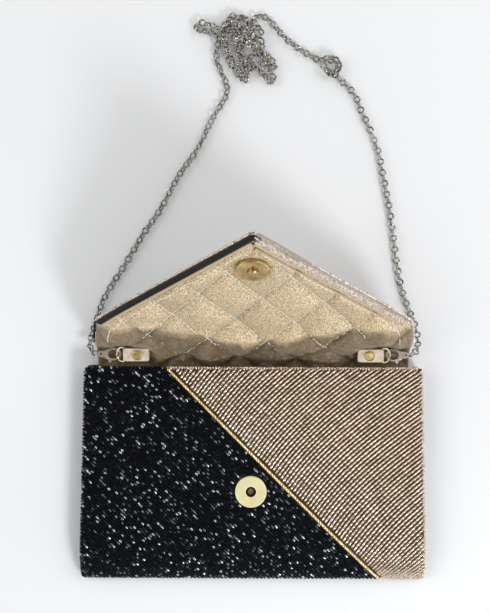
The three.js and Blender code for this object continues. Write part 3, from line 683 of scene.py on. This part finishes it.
def outer_rows(side, pitch, radius, spacing):
    """Rows on the back, rim and flap's outside, parallel to the gold line. side -1 is left of it, 1 right."""
    rows = []
    along = np.linspace(0.4, OUTER_LENGTH - 1.5, 420)
    slant = math.hypot(1, LINE_BOTTOM_X / BACK_END)
    first = GOLD_RADIUS + radius
    for k in range(int(2 * HALF_WIDTH / pitch)):
        away = (first + k * pitch) * np.where(along < BACK_END, slant, 1.0)
        x = outer_line_x(along) + side * away
        keep = np.abs(x) < outer_half_width(along)
        curve, ups = outer_place(x, along, OUTER)
        rows += rows_on_runs(curve, ups, keep, spacing, 0.3, 0.5)
    return rows


def split_at_fold(rows):
    """Rows whose beads lie on the back, and those that follow the fold and the flap."""
    back, front = [], []
    y_split = np.interp(FOLD_FROM, OUTER[0], OUTER[1])
    z_split = np.interp(FOLD_FROM, OUTER[0], OUTER[2])
    for centres, along, up in rows:
        on_back = (centres[:, 1] < y_split) | (centres[:, 2] < z_split)
        for flag, target in ((on_back, back), (~on_back, front)):
            if flag.any():
                target.append((centres[flag], along[flag], up[flag]))
    return back, front


def make_outside():
    for colour, side, pitch, radius, length in (
        ("black", -1, BLACK_PITCH, BLACK_RADIUS, BLACK_LENGTH),
        ("champagne", 1, CHAMPAGNE_PITCH, CHAMPAGNE_RADIUS, CHAMPAGNE_LENGTH),
    ):
        back, flap = split_at_fold(outer_rows(side, pitch, radius, length + 0.08))
        material = f"{colour}_beads"
        bead_piece(f"back_{colour}_beads", back, radius, length, material, "purse")
        piece = bead_piece(f"flap_{colour}_beads", flap, radius, length, material)
        cross_hinge(piece)
    along = np.linspace(0.5, OUTER_LENGTH - 2, 300)
    curve, ups = outer_place(outer_line_x(along), along, OUTER)
    back, flap = split_at_fold(gold_row(curve, ups))
    gold_back = bead_piece("back_gold_beads", back, 0.85, GOLD_LENGTH, "gold_beads", "purse", sides=8, tilt=0.02)
    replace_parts(gold_back, "back_gold_bead_line", "rim_gold_bead_line")
    gold_flap = bead_piece("flap_gold_beads", flap, 0.85, GOLD_LENGTH, "gold_beads", None, sides=8, tilt=0.02)
    cross_hinge(gold_flap)
    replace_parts(gold_flap, "flap_gold_bead_line")
    make_outside_ground()


def make_outside_ground():
    """The cloth under the beads, from the bottom edge of the back to the flap's tip."""
    profile = outer_profile(1.5)
    for colour, side, nodes in (
        ("black", -1, ("back_beading_black", "rim_beading_black", "flap_beading_black")),
        ("brown", 1, ("back_beading_champagne", "rim_beading_champagne", "flap_beading_champagne")),
    ):
        columns = 40
        stretches = (
            ("back", np.linspace(0.2, BACK_END - 0.2, 50), nodes[0], "purse"),
            ("fold", np.concatenate([np.linspace(BACK_END, FLAP_FROM, 36)[:-1],
                                     np.linspace(FLAP_FROM, profile[0][-1] - 0.8, 80)]), nodes[1:], None),
        )
        for name, along, replaced, body in stretches:
            along = along[:, None]
            middle = outer_line_x(along)
            share = np.linspace(0, 1, columns)[None, :]
            reach = np.maximum(outer_half_width(along) - 0.4, 0.05)
            x = middle + (side * reach - middle) * share
            points, _ = outer_place(x, along + 0 * x, profile)
            piece = mesh_piece(
                f"{name}_{colour}_ground", points.reshape(-1, 3), sheet_grid(len(along), columns),
                f"{colour}_ground", body)
            if body is None:
                cross_hinge(piece)
            solidify(piece, 0.35, 0.0)
            for node in [replaced] if isinstance(replaced, str) else replaced:
                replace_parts(piece, node)


# ---------- quilted lining ----------

QUILT_SLOPE = 1.35
RISING_PITCH = 50.5
FALLING_PITCH = 42.3
RISING_LINES = [102.5 - RISING_PITCH * j for j in range(-1, 5)]
FALLING_LINES = [105.5 - FALLING_PITCH * j for j in range(0, 6)]
PUFF = 3.3
STUD_S = HINGE_Y - SNAP_Y


def quilt_distance(x, s):
    """Distance to the nearest stitched line."""
    steep = math.hypot(1, QUILT_SLOPE)
    rising = np.min([np.abs(s - QUILT_SLOPE * x - k) for k in RISING_LINES], axis=0) / steep
    falling = np.min([np.abs(s + QUILT_SLOPE * x - k) for k in FALLING_LINES], axis=0) / steep
    return np.minimum(rising, falling)


def noise_field(x, y, scale, seed):
    flat = [noise.noise(Vector((a * scale, b * scale, seed))) for a, b in zip(x.ravel(), y.ravel())]
    return np.array(flat).reshape(x.shape)


LINING_INSET = 3.4
SIDE_INSET = 0.9
RING_X = 79
RING_RELIEF = 0.5


def lining_profile():
    """The lining's resting line in Y and Z: pocket floor, rim, then the flap. The last value is s on the flap."""
    floor_y = np.linspace(20, MOUTH_Y, 26)[:-1]
    rim_y, rim_z, rim_ny, rim_nz = rim_arc(LINING_DEPTH + 0.1, 22)
    flap_s = np.arange(FLAP_START + 1, FLAP_LENGTH - LINING_INSET - 1.0, 1.0)
    flap = flap_place(0.0, flap_s, 0.15)
    y = np.concatenate([floor_y, rim_y, flap[:, 1]])
    z = np.concatenate([np.full(len(floor_y), LINING_FLOOR_Z + 0.1), rim_z, flap[:, 2]])
    ny = np.concatenate([np.zeros(len(floor_y)), -rim_ny, np.full(len(flap_s), INTO_FLAP[1])])
    nz = np.concatenate([np.ones(len(floor_y)), -rim_nz, np.full(len(flap_s), INTO_FLAP[2])])
    s = np.concatenate([floor_y - MOUTH_Y - 30, np.linspace(-24, 2, len(rim_y)), flap_s])
    return y, z, ny, nz, s


def make_lining():
    y, z, ny, nz, s = lining_profile()
    columns = 200
    share = np.linspace(-1, 1, columns)[None, :]
    inset = SIDE_INSET + (LINING_INSET - SIDE_INSET) * np.clip((s - FLAP_CORNER_S + 3) / 5, 0, 1)
    half = np.where(s > FLAP_START, flap_half_width(np.maximum(s, 0), inset), RIM_HALF_WIDTH - 0.6)
    half = np.maximum(half, 0.4)[:, None]
    x = share * half
    grid_s = s[:, None] + 0 * x
    near = quilt_distance(x, grid_s)
    edge = np.minimum(half * (1 - np.abs(share)), 12)
    puff = PUFF * (1 - np.exp(-near / 3.0)) * np.clip((edge - 3.5) / 6, 0, 1) ** 0.7
    stud = np.hypot(x - SNAP_X, grid_s - STUD_S)
    puff *= np.clip((stud - 9.2) / 5, 0, 1)
    pucker = 0.28 * np.exp(-near / 2.2) * noise_field(x, grid_s, 0.55, 3.0)
    soft = 0.5 * noise_field(x, grid_s, 0.09, 9.0) * np.clip(edge / 6, 0, 1)
    ridge_s = 14 + 15 * np.sin(np.clip(np.abs(x) / 62, 0, 1) * math.pi / 2) ** 2
    ridge_s = ridge_s + 2.5 * noise_field(x, grid_s * 0, 0.06, 5.0)
    below = np.clip((ridge_s - grid_s) / 5, 0, 1)
    valley = below * np.clip((grid_s + 60) / 30, 0, 1)
    folds = noise_field(x, grid_s * 0.45, 0.085, 20.0) + 0.5 * noise_field(x, grid_s, 0.24, 31.0)
    crumple = valley * (3.0 * np.abs(folds) * np.clip(edge / 10, 0, 1))
    ridge = 2.2 * np.exp(-((grid_s - ridge_s - 2) / 3.2) ** 2) * np.clip(edge / 10, 0, 1)
    keep_clear = np.clip((np.abs(x) - 58) / 6, 0, 1) * np.clip((14 - grid_s) / 8, 0, 1)
    height = (puff * (1 + 0.35 * valley) + pucker + soft + crumple) * (1 - 0.8 * keep_clear) + ridge
    at_ring = np.exp(-((np.abs(x) - RING_X) / 6) ** 4) * np.exp(-((grid_s + 1.5) / 5) ** 4)
    height = np.maximum(height, 0.0) * (1 - at_ring) - RING_RELIEF * at_ring
    points = np.stack([
        x + flap_skew(grid_s),
        y[:, None] + ny[:, None] * height,
        z[:, None] + nz[:, None] * height,
    ], axis=-1)
    piece = mesh_piece("quilted_lining", points.reshape(-1, 3), sheet_grid(*x.shape), "quilted_silk")
    # Painted shade for fold_shade: the lining darkens in the valley below the ridge, most in the middle, and along
    # the stitched quilt lines.
    shade = 1 - below * (0.75 - 0.18 * np.clip(np.abs(x) / 90, 0, 1)) - 0.16 * np.exp(-near / 1.3)
    rising = (grid_s - QUILT_SLOPE * x - RISING_LINES[-1]) / RISING_PITCH
    falling = (grid_s + QUILT_SLOPE * x - FALLING_LINES[-1]) / FALLING_PITCH
    cell_tone = 0.07 * np.sin(np.floor(rising) * 2.3 + np.floor(falling) * 4.1)
    # cell_tone gives each quilt cell a random tone; the ramps across each cell are painted light and shade, one side
    # of each puff lighter and the other darker.
    shade = shade * (0.90 + cell_tone + 0.20 * (falling % 1) - 0.06 * (rising % 1))
    colours = np.ones((shade.size, 4))
    shade = np.clip(shade, 0.16, 1.1).ravel()[:, None]
    # The painted shade turns browner as it deepens.
    colours[:, :3] = shade ** np.array([1.0, 1.12, 1.30])
    layer = piece.data.color_attributes.new("fold_shade", "FLOAT_COLOR", "POINT")
    layer.data.foreach_set("color", colours.ravel())
    cross_hinge(piece)
    solidify(piece, 0.3, 0.0)
    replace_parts(piece, "flap_quilted_lining", "rim_lining", "fold_tape")
    make_quilt_stitches(points, x, grid_s, np.stack([0 * ny, ny, nz], axis=1))


def make_quilt_stitches(points, x, grid_s, normals):
    """Running stitches along the quilting lines and round the lining's edge."""
    places, directions, ups = [], [], []
    long, gap = 2.2, 0.9

    def surface(px, ps):
        row = np.interp(ps, grid_s[:, 0], np.arange(len(grid_s)))
        low, part = int(row), row - int(row)
        high = min(low + 1, len(grid_s) - 1)
        ends = [np.array([np.interp(px, x[i], points[i, :, axis]) for axis in range(3)]) for i in (low, high)]
        return ends[0] * (1 - part) + ends[1] * part, normals[low]

    def stitch_line(path):
        path = np.array(path)
        steps = running(np.linalg.norm(np.diff(path, axis=0), axis=1))
        at = 0.0
        while at + long < steps[-1]:
            ends = [np.array([np.interp(v, steps, path[:, i]) for i in range(2)]) for v in (at, at + long)]
            (a, up), (b, _) = (surface(*e) for e in ends)
            places.append((a + b) / 2 + 0.3 * up)
            directions.append(b - a)
            ups.append(up)
            at += long + gap

    def inside(px, ps, inset=LINING_INSET + 5):
        if ps < FLAP_START + 10 and abs(px) > 56:
            return False
        off_stud = math.hypot(px - SNAP_X, ps - STUD_S) > 9.5
        return abs(px) < flap_half_width(max(ps, 0.0), inset) and ps > -12 and off_stud

    for sign, offsets in ((1, RISING_LINES), (-1, FALLING_LINES)):
        for offset in offsets:
            run = []
            for px in np.arange(-95, 95.1, 0.5):
                ps = offset + sign * QUILT_SLOPE * px
                if inside(px, ps):
                    run.append((px, ps))
                else:
                    if len(run) > 6:
                        stitch_line(run)
                    run = []
            if len(run) > 6:
                stitch_line(run)
    for side in (-1, 1):
        edge = [(side * flap_half_width(ps, LINING_INSET + 4.5), ps)
                for ps in np.arange(FLAP_START + 4, FLAP_LENGTH - 14, 1.0)]
        stitch_line(edge)
    rows = [(np.array(places), unit(np.array(directions)), np.array(ups))]
    cross_hinge(bead_piece("quilt_stitches", rows, 0.38, 2.6, "thread", tilt=0.08))


# ---------- flap edges ----------


def flap_edge_path(side, inset, first=FLAP_START + 0.5, last=FLAP_LENGTH - 1.0, step=0.8):
    s = np.arange(first, last - inset * 1.4, step)
    return side * flap_half_width(s, inset), s


def tube_points(curve, across, up, half_wide, half_high, sides=10):
    """Points and faces of a tube of oval section along a curve."""
    angles = np.arange(sides) * 2 * math.pi / sides
    offsets = (
        np.cos(angles)[None, :, None] * across[:, None, :] * half_wide
        + np.sin(angles)[None, :, None] * up[:, None, :] * half_high
    )
    points = curve[:, None, :] + offsets
    return points.reshape(-1, 3), tube_faces(len(curve), sides)


def edge_row(side, inset, n, spacing, first=FLAP_CORNER_S - 1.0, last=FLAP_LENGTH - 0.5):
    """Bead places along one of the flap's edges."""
    x, s = flap_edge_path(side, inset, first, last)
    curve = flap_place(x, s, n)
    return row_on_curve(curve, np.tile(INTO_FLAP, (len(curve), 1)), spacing)


def edge_welt(name, side, inset, n, half_wide, half_high, material):
    x, s = flap_edge_path(side, inset, FLAP_CORNER_S - 1.5, FLAP_LENGTH - 0.2, 0.6)
    if name == "flap_black_welt":
        x, s = np.append(x, -x[-2:-6:-1]), np.append(s, s[-2:-6:-1])
    curve = flap_place(x, s, n)
    along = unit(np.gradient(curve, axis=0))
    ups = np.tile(INTO_FLAP, (len(curve), 1))
    points, quads = tube_points(curve, unit(np.cross(along, ups)), ups, half_wide, half_high)
    return mesh_piece(name, points, quads, material, "flap")


def make_flap_edges():
    """Black satin binding on the left slant, a pearly band on the right, piping, and a picot of beads outside."""
    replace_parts(edge_welt("flap_black_welt", -1, 1.75, 0.5, 1.75, 1.2, "black_satin"), "flap_edge_left")
    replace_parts(edge_welt("flap_pearl_welt", 1, 2.0, 0.4, 2.0, 1.0, "pearl_cloth"), "flap_edge_right")
    edge_welt("flap_piping_left", -1, 4.2, 1.0, 0.9, 0.9, "facing")
    edge_welt("flap_piping_right", 1, 4.8, 1.0, 0.9, 0.9, "facing")
    edge_welt("flap_piping_inner", 1, 7.2, 1.6, 0.6, 0.7, "facing")
    pearls = []
    for row in range(4):
        centres, along, up = edge_row(1, 0.4 + 0.95 * row, 1.25, 1.15)
        across = unit(np.cross(along, up))
        pearls.append((centres, unit(across + 0.5 * along), up))
    bead_piece("flap_pearl_beads", pearls, 0.5, 1.1, "pearl_beads", "flap", tilt=0.2)
    low = FLAP_START + 0.5
    for name, side, first, last, material in (
        ("flap_edge_beads_left", -1, FLAP_CORNER_S - 1, FLAP_LENGTH, "champagne_beads"),
        ("flap_side_beads_left", -1, low, FLAP_CORNER_S - 1, "black_beads"),
        ("flap_edge_beads_right", 1, FLAP_CORNER_S - 1, FLAP_LENGTH, "pearl_beads"),
        ("flap_side_beads_right", 1, low, FLAP_CORNER_S - 1, "pearl_beads"),
    ):
        bead_piece(name, [edge_row(side, -0.3, -0.9, 1.5, first, last)], 0.72, 1.3, material, "flap", tilt=0.15)


# ---------- chain strap ----------

CHAIN_LEFT = [
    (-94.0, 70.9, 13.6), (-98.0, 73.2, 11.6), (-99.4, 77.6, 6.6), (-99.0, 83, 2.9), (-96.8, 89, CHAIN_Z),
    (-94.8, 95.8, CHAIN_Z), (-90.8, 106.4, CHAIN_Z), (-78.5, 126, CHAIN_Z), (-67.7, 144.2, CHAIN_Z),
    (-57.1, 159.7, CHAIN_Z), (-45.4, 181.2, CHAIN_Z), (-35, 195.9, CHAIN_Z), (-25.8, 214.6, CHAIN_Z),
    (-18.1, 227.3, CHAIN_Z), (-16.6, 234.5, CHAIN_Z),
]
CHAIN_PILE = [
    (-19.2, 241, 2.4), (-22.6, 249, 2.6), (-23.4, 257, 2.6), (-21.8, 264, 2.8), (-26, 267.2, 2.8),
    (-32, 269, 2.4), (-36.6, 269.6, 3.2), (-34, 273.4, 3.6), (-27.5, 272.2, 4.4), (-22, 269.5, 5.6),
    (-15.6, 270, 4.2), (-15.8, 276, 3.4), (-12.4, 278.4, 3.2), (-9.6, 275.2, 4.2), (-7.2, 278.2, 3.4),
    (-4.8, 273, 4.6), (-8.5, 267.4, 5.2), (-14.5, 263.6, 5.4), (-17.6, 257.6, 5.2), (-16.4, 250.8, 4.0),
    (-12, 245.2, 3.0), (-7.4, 238.6, 2.5), (-3.8, 240.4, 3.4), (-5.4, 247, 4.6), (-10, 253.2, 5.8),
    (-9, 260.4, 6.4), (-2.4, 264.6, 6.0), (3.6, 263.4, 5.0), (5.0, 258.2, 4.2), (0.2, 254.4, 5.6),
    (-3.4, 250.2, 6.6), (1.2, 245.4, 4.8), (6.4, 240.8, 3.4), (10.6, 236.8, 2.6), (12.2, 240.6, 3.6),
    (7.4, 245.6, 5.2), (2.4, 250.8, 7.2), (6.4, 254.2, 4.8), (11.6, 249.4, 3.0), (12.4, 245.6, 3.8),
    (7.6, 250.2, 6.8), (-1.0, 258.4, 8.4), (-8.4, 264.0, 8.0), (-13.2, 268.4, 6.6), (-18.8, 266.4, 5.8),
    (-19.4, 260.4, 6.2), (-15.4, 253.6, 6.6), (-11.6, 247.6, 6.0), (-6.6, 243.2, 5.4),
    (-1.4, 244.6, 6.4), (-4.6, 249.4, 7.8), (-9.4, 254.6, 8.8), (-5.4, 258.6, 9.6), (0.8, 261.0, 8.4),
    (4.4, 266.2, 5.2),
    (1.6, 270.8, 5.2), (-4.8, 268.2, 7.4), (-11.4, 271.8, 6.4), (-17.6, 273.2, 5.2), (-20.6, 266.0, 6.8),
    (-16.8, 260.0, 8.8), (-10.2, 261.2, 10.0), (-4.6, 266.0, 9.6), (0.6, 268.8, 7.0), (-2.8, 272.0, 3.8),
]
CHAIN_MIDDLE = [
    (-1.3, 275, CHAIN_Z), (3, 278.4, CHAIN_Z), (7.9, 276.3, CHAIN_Z), (13.4, 270.4, CHAIN_Z),
    (18.3, 265, CHAIN_Z), (25.6, 259, CHAIN_Z), (34, 253.9, CHAIN_Z), (40.3, 250.8, CHAIN_Z),
]
CHAIN_KNOT = [
    (45.6, 252.8, 3.4), (51.4, 249.8, 4.6), (50.4, 243.4, 4.2), (44.2, 242.6, 5.6), (41.6, 247.6, 6.6),
    (46.4, 250.4, 7.6), (51.8, 246.0, 7.2), (47.4, 241.4, 5.8), (43.4, 245.0, 3.4), (48.4, 243.6, 2.6),
]
CHAIN_RIGHT = [
    (52.6, 238.8, CHAIN_Z), (57.9, 234.3, CHAIN_Z), (62.8, 227.3, CHAIN_Z), (65.2, 220.4, CHAIN_Z),
    (70.3, 210, CHAIN_Z), (76.1, 194.6, CHAIN_Z), (79.5, 177.5, CHAIN_Z), (82.6, 162.2, CHAIN_Z),
    (85.1, 145.6, CHAIN_Z), (87.5, 127.3, CHAIN_Z), (90.6, 111.3, CHAIN_Z), (94.4, 100.3, CHAIN_Z),
    (97.8, 92, CHAIN_Z), (100.0, 84.6, 2.7), (100.2, 78.6, 5.8), (98.2, 73.2, 11.6), (94.0, 70.9, 13.6),
]


def smooth_route(points, samples=12):
    """A uniform Catmull-Rom curve through the points."""
    points = [np.array(p, dtype=float) for p in points]
    points = [2 * points[0] - points[1], *points, 2 * points[-1] - points[-2]]
    route = []
    for p0, p1, p2, p3 in zip(points, points[1:], points[2:], points[3:]):
        for i in range(samples):
            t = i / samples
            route.append(0.5 * (
                2 * p1 + (p2 - p0) * t + (2 * p0 - 5 * p1 + 4 * p2 - p3) * t * t
                + (3 * p1 - p0 - 3 * p2 + p3) * t ** 3))
    route.append(points[-2])
    return np.array(route)


def even_steps(route, spacing):
    reach = running(np.linalg.norm(np.diff(route, axis=0), axis=1))
    count = int(round(reach[-1] / spacing))
    places = np.linspace(0, reach[-1], count + 1)
    return along_curve(places, reach, route), reach[-1]


def link_template(major=16, minor=8):
    """A round link: points of a torus in its own axes, first along the chain, then across, then thick."""
    ring = (CHAIN_OUTER - CHAIN_WIRE) / 2
    wire = CHAIN_WIRE / 2
    a, b = np.meshgrid(np.arange(major) * 2 * math.pi / major, np.arange(minor) * 2 * math.pi / minor, indexing="ij")
    points = np.stack([
        (ring + wire * np.cos(b)) * np.cos(a), (ring + wire * np.cos(b)) * np.sin(a), wire * np.sin(b)], axis=-1)
    return points.reshape(-1, 3), tube_faces(major, minor, closed=True)


def make_chain():
    route = smooth_route(CHAIN_LEFT + CHAIN_PILE + CHAIN_MIDDLE + CHAIN_KNOT + CHAIN_RIGHT)
    places, length = even_steps(route, CHAIN_PITCH)
    centres = (places[1:] + places[:-1]) / 2
    along = unit(places[1:] - places[:-1])
    up = np.tile(np.array([0.0, 0.0, 1.0]), (len(centres), 1))
    across = unit(np.cross(up, along))
    up = np.cross(along, across)
    template, quads = link_template()
    share = np.arange(len(centres)) / len(centres)
    lean = np.where(share < 0.2, math.radians(42), np.where(share > 0.75, math.radians(16), math.radians(40)))
    roll = np.where(np.arange(len(centres)) % 2 == 0, lean, lean + math.pi / 2)
    roll = roll + 0.16 * rng.standard_normal(len(centres))
    side = np.cos(roll)[:, None] * across + np.sin(roll)[:, None] * up
    thick = np.cross(along, side)
    points = (
        centres[:, None, :]
        + template[None, :, 0, None] * along[:, None, :]
        + template[None, :, 1, None] * side[:, None, :]
        + template[None, :, 2, None] * thick[:, None, :]
    )
    lowest = points[..., 2].min(axis=1)
    points[..., 2] += np.maximum(0.08 - lowest, 0)[:, None]
    faces = quads[None] + (np.arange(len(centres)) * len(template))[:, None, None]
    chain = mesh_piece("chain_strap", points.reshape(-1, 3), faces.reshape(-1, 4), "silver", "purse")
    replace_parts(chain, "chain_left", "chain_pile", "chain_middle", "chain_knot", "chain_right")
    print("chain length", round(length, 1), "mm,", len(centres), "links")


# ---------- tabs ----------


def make_tabs():
    """Leather tabs with soft edges, over the CAD tabs."""
    for label in ("left", "right"):
        low, high = node_box(f"tab_{label}")
        centre = (low + high) / 2
        lean = math.radians(18)
        half_x, half_v, half_w = (high[0] - low[0]) / 2, 4.2, 0.95
        rings, sides = 9, 32
        points = []
        for r in range(rings):
            t = -1 + 2 * r / (rings - 1)
            shrink = 1 - 0.05 * abs(t) ** 4
            for k in range(sides):
                angle = 2 * math.pi * k / sides
                c, s = math.cos(angle), math.sin(angle)
                u = half_x * shrink * math.copysign(abs(c) ** 0.22, c)
                v = half_v * shrink * math.copysign(abs(s) ** 0.22, s)
                w = half_w * t + 0.15
                points.append((u, v, w))
        points = np.array(points)
        quads = list(tube_faces(rings, sides, flip=True))
        for cap in (0, (rings - 1) * sides):
            for k in range(sides // 2 - 1):
                quads.append((cap + k, cap + k + 1, cap + sides - 2 - k, cap + sides - 1 - k))
        world = np.stack([
            centre[0] + points[:, 0],
            centre[1] + points[:, 1] * math.cos(lean) - points[:, 2] * math.sin(lean),
            centre[2] + points[:, 1] * math.sin(lean) + points[:, 2] * math.cos(lean),
        ], axis=1)
        tab = mesh_piece(f"leather_tab_{label}", world, quads, "leather", "purse", smooth=False)
        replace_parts(tab, f"tab_{label}")


# ---------- carried-over nodes, light, floor and camera ----------

NODE_MATERIALS = {
    "board": "board", "lining": "silk", "gusset": "black_satin", "riser": "leather",
    "rivet": "matte_brass", "ring": "brass", "clasp": "bright_silver", "pin": "bright_silver",
    "snap_socket_shell": "brass", "snap_socket_magnet": "iron", "snap_socket_core": "dark_brass",
    "backplate": "iron", "snap_stud_disc": "dark_brass", "snap_stud_post": "dark_brass",
}


def dress_nodes():
    for node in frame["nodes"]:
        piece = bpy.data.objects.get(node)
        if piece is None or piece.type != "MESH":
            continue
        for key, material in NODE_MATERIALS.items():
            if key in node:
                piece.data.materials.clear()
                piece.data.materials.append(MATERIALS[material])


def area_light(name, place, target, size, power, colour):
    light = bpy.data.lights.new(name, "AREA")
    light.shape = "DISK"
    light.size = size
    light.energy = power
    light.color = colour
    lamp = bpy.data.objects.new(name, light)
    lamp.location = place
    lamp.rotation_euler = (Vector(target) - Vector(place)).to_track_quat("-Z", "Y").to_euler()
    bpy.context.scene.collection.objects.link(lamp)


def make_studio():
    scene = bpy.context.scene
    world = bpy.data.worlds.new("studio")
    world.use_nodes = True
    sky = world.node_tree
    coords = sky.nodes.new("ShaderNodeTexCoord")
    split = sky.nodes.new("ShaderNodeSeparateXYZ")
    ramp = sky.nodes.new("ShaderNodeValToRGB")
    sky.links.new(coords.outputs["Generated"], split.inputs["Vector"])
    sky.links.new(split.outputs["Z"], ramp.inputs["Fac"])
    sky.links.new(ramp.outputs["Color"], sky.nodes["Background"].inputs["Color"])
    ramp.color_ramp.elements[0].position = 0.30
    ramp.color_ramp.elements[0].color = (0.98, 0.99, 1.0, 1)
    ramp.color_ramp.elements[1].position = 0.92
    ramp.color_ramp.elements[1].color = (0.14, 0.15, 0.16, 1)
    sky.nodes["Background"].inputs["Strength"].default_value = 1.0
    scene.world = world
    scene.view_settings.view_transform = "Standard"
    area_light("key", (0.60, 0.50, 1.0), (0, 0.08, 0), 0.8, 3.5, (1.0, 0.98, 0.95))
    area_light("window", (0.55, -0.62, 0.85), (0, 0.06, 0), 0.32, 6.0, (0.97, 0.98, 1.0))
    area_light("fill", (-0.95, 0.25, 1.0), (0, 0.12, 0), 1.0, 4.6, (1.0, 0.98, 0.95))

    mesh = bpy.data.meshes.new("floor")
    half = 6.0
    mesh.from_pydata([(-half, -half, 0), (half, -half, 0), (half, half, 0), (-half, half, 0)], [], [(0, 1, 2, 3)])
    floor = bpy.data.objects.new("floor", mesh)
    scene.collection.objects.link(floor)
    paper = Shader("pale_floor")
    tone = paper.noise(3.0, 2)
    paper.link(
        paper.ramp(tone, (0.3, (0.86, 0.86, 0.87)), (0.7, (0.90, 0.91, 0.92))), paper.bsdf.inputs["Base Color"])
    paper.set(Roughness=0.8)
    mesh.materials.append(paper.material)


def make_camera():
    scene = bpy.context.scene
    camera = bpy.data.cameras.new("camera")
    camera.lens = 58.73
    camera.sensor_width = 36.0
    viewer = bpy.data.objects.new("camera", camera)
    viewer.location = (-0.0052, 0.100, 0.615)
    viewer.rotation_euler = (0, 0, math.radians(0.25))
    scene.collection.objects.link(viewer)
    scene.camera = viewer


make_camera()
make_chain()
make_front()
edge_beads()
make_outside()
make_lining()
make_flap_edges()
make_tabs()
dress_nodes()
make_studio()
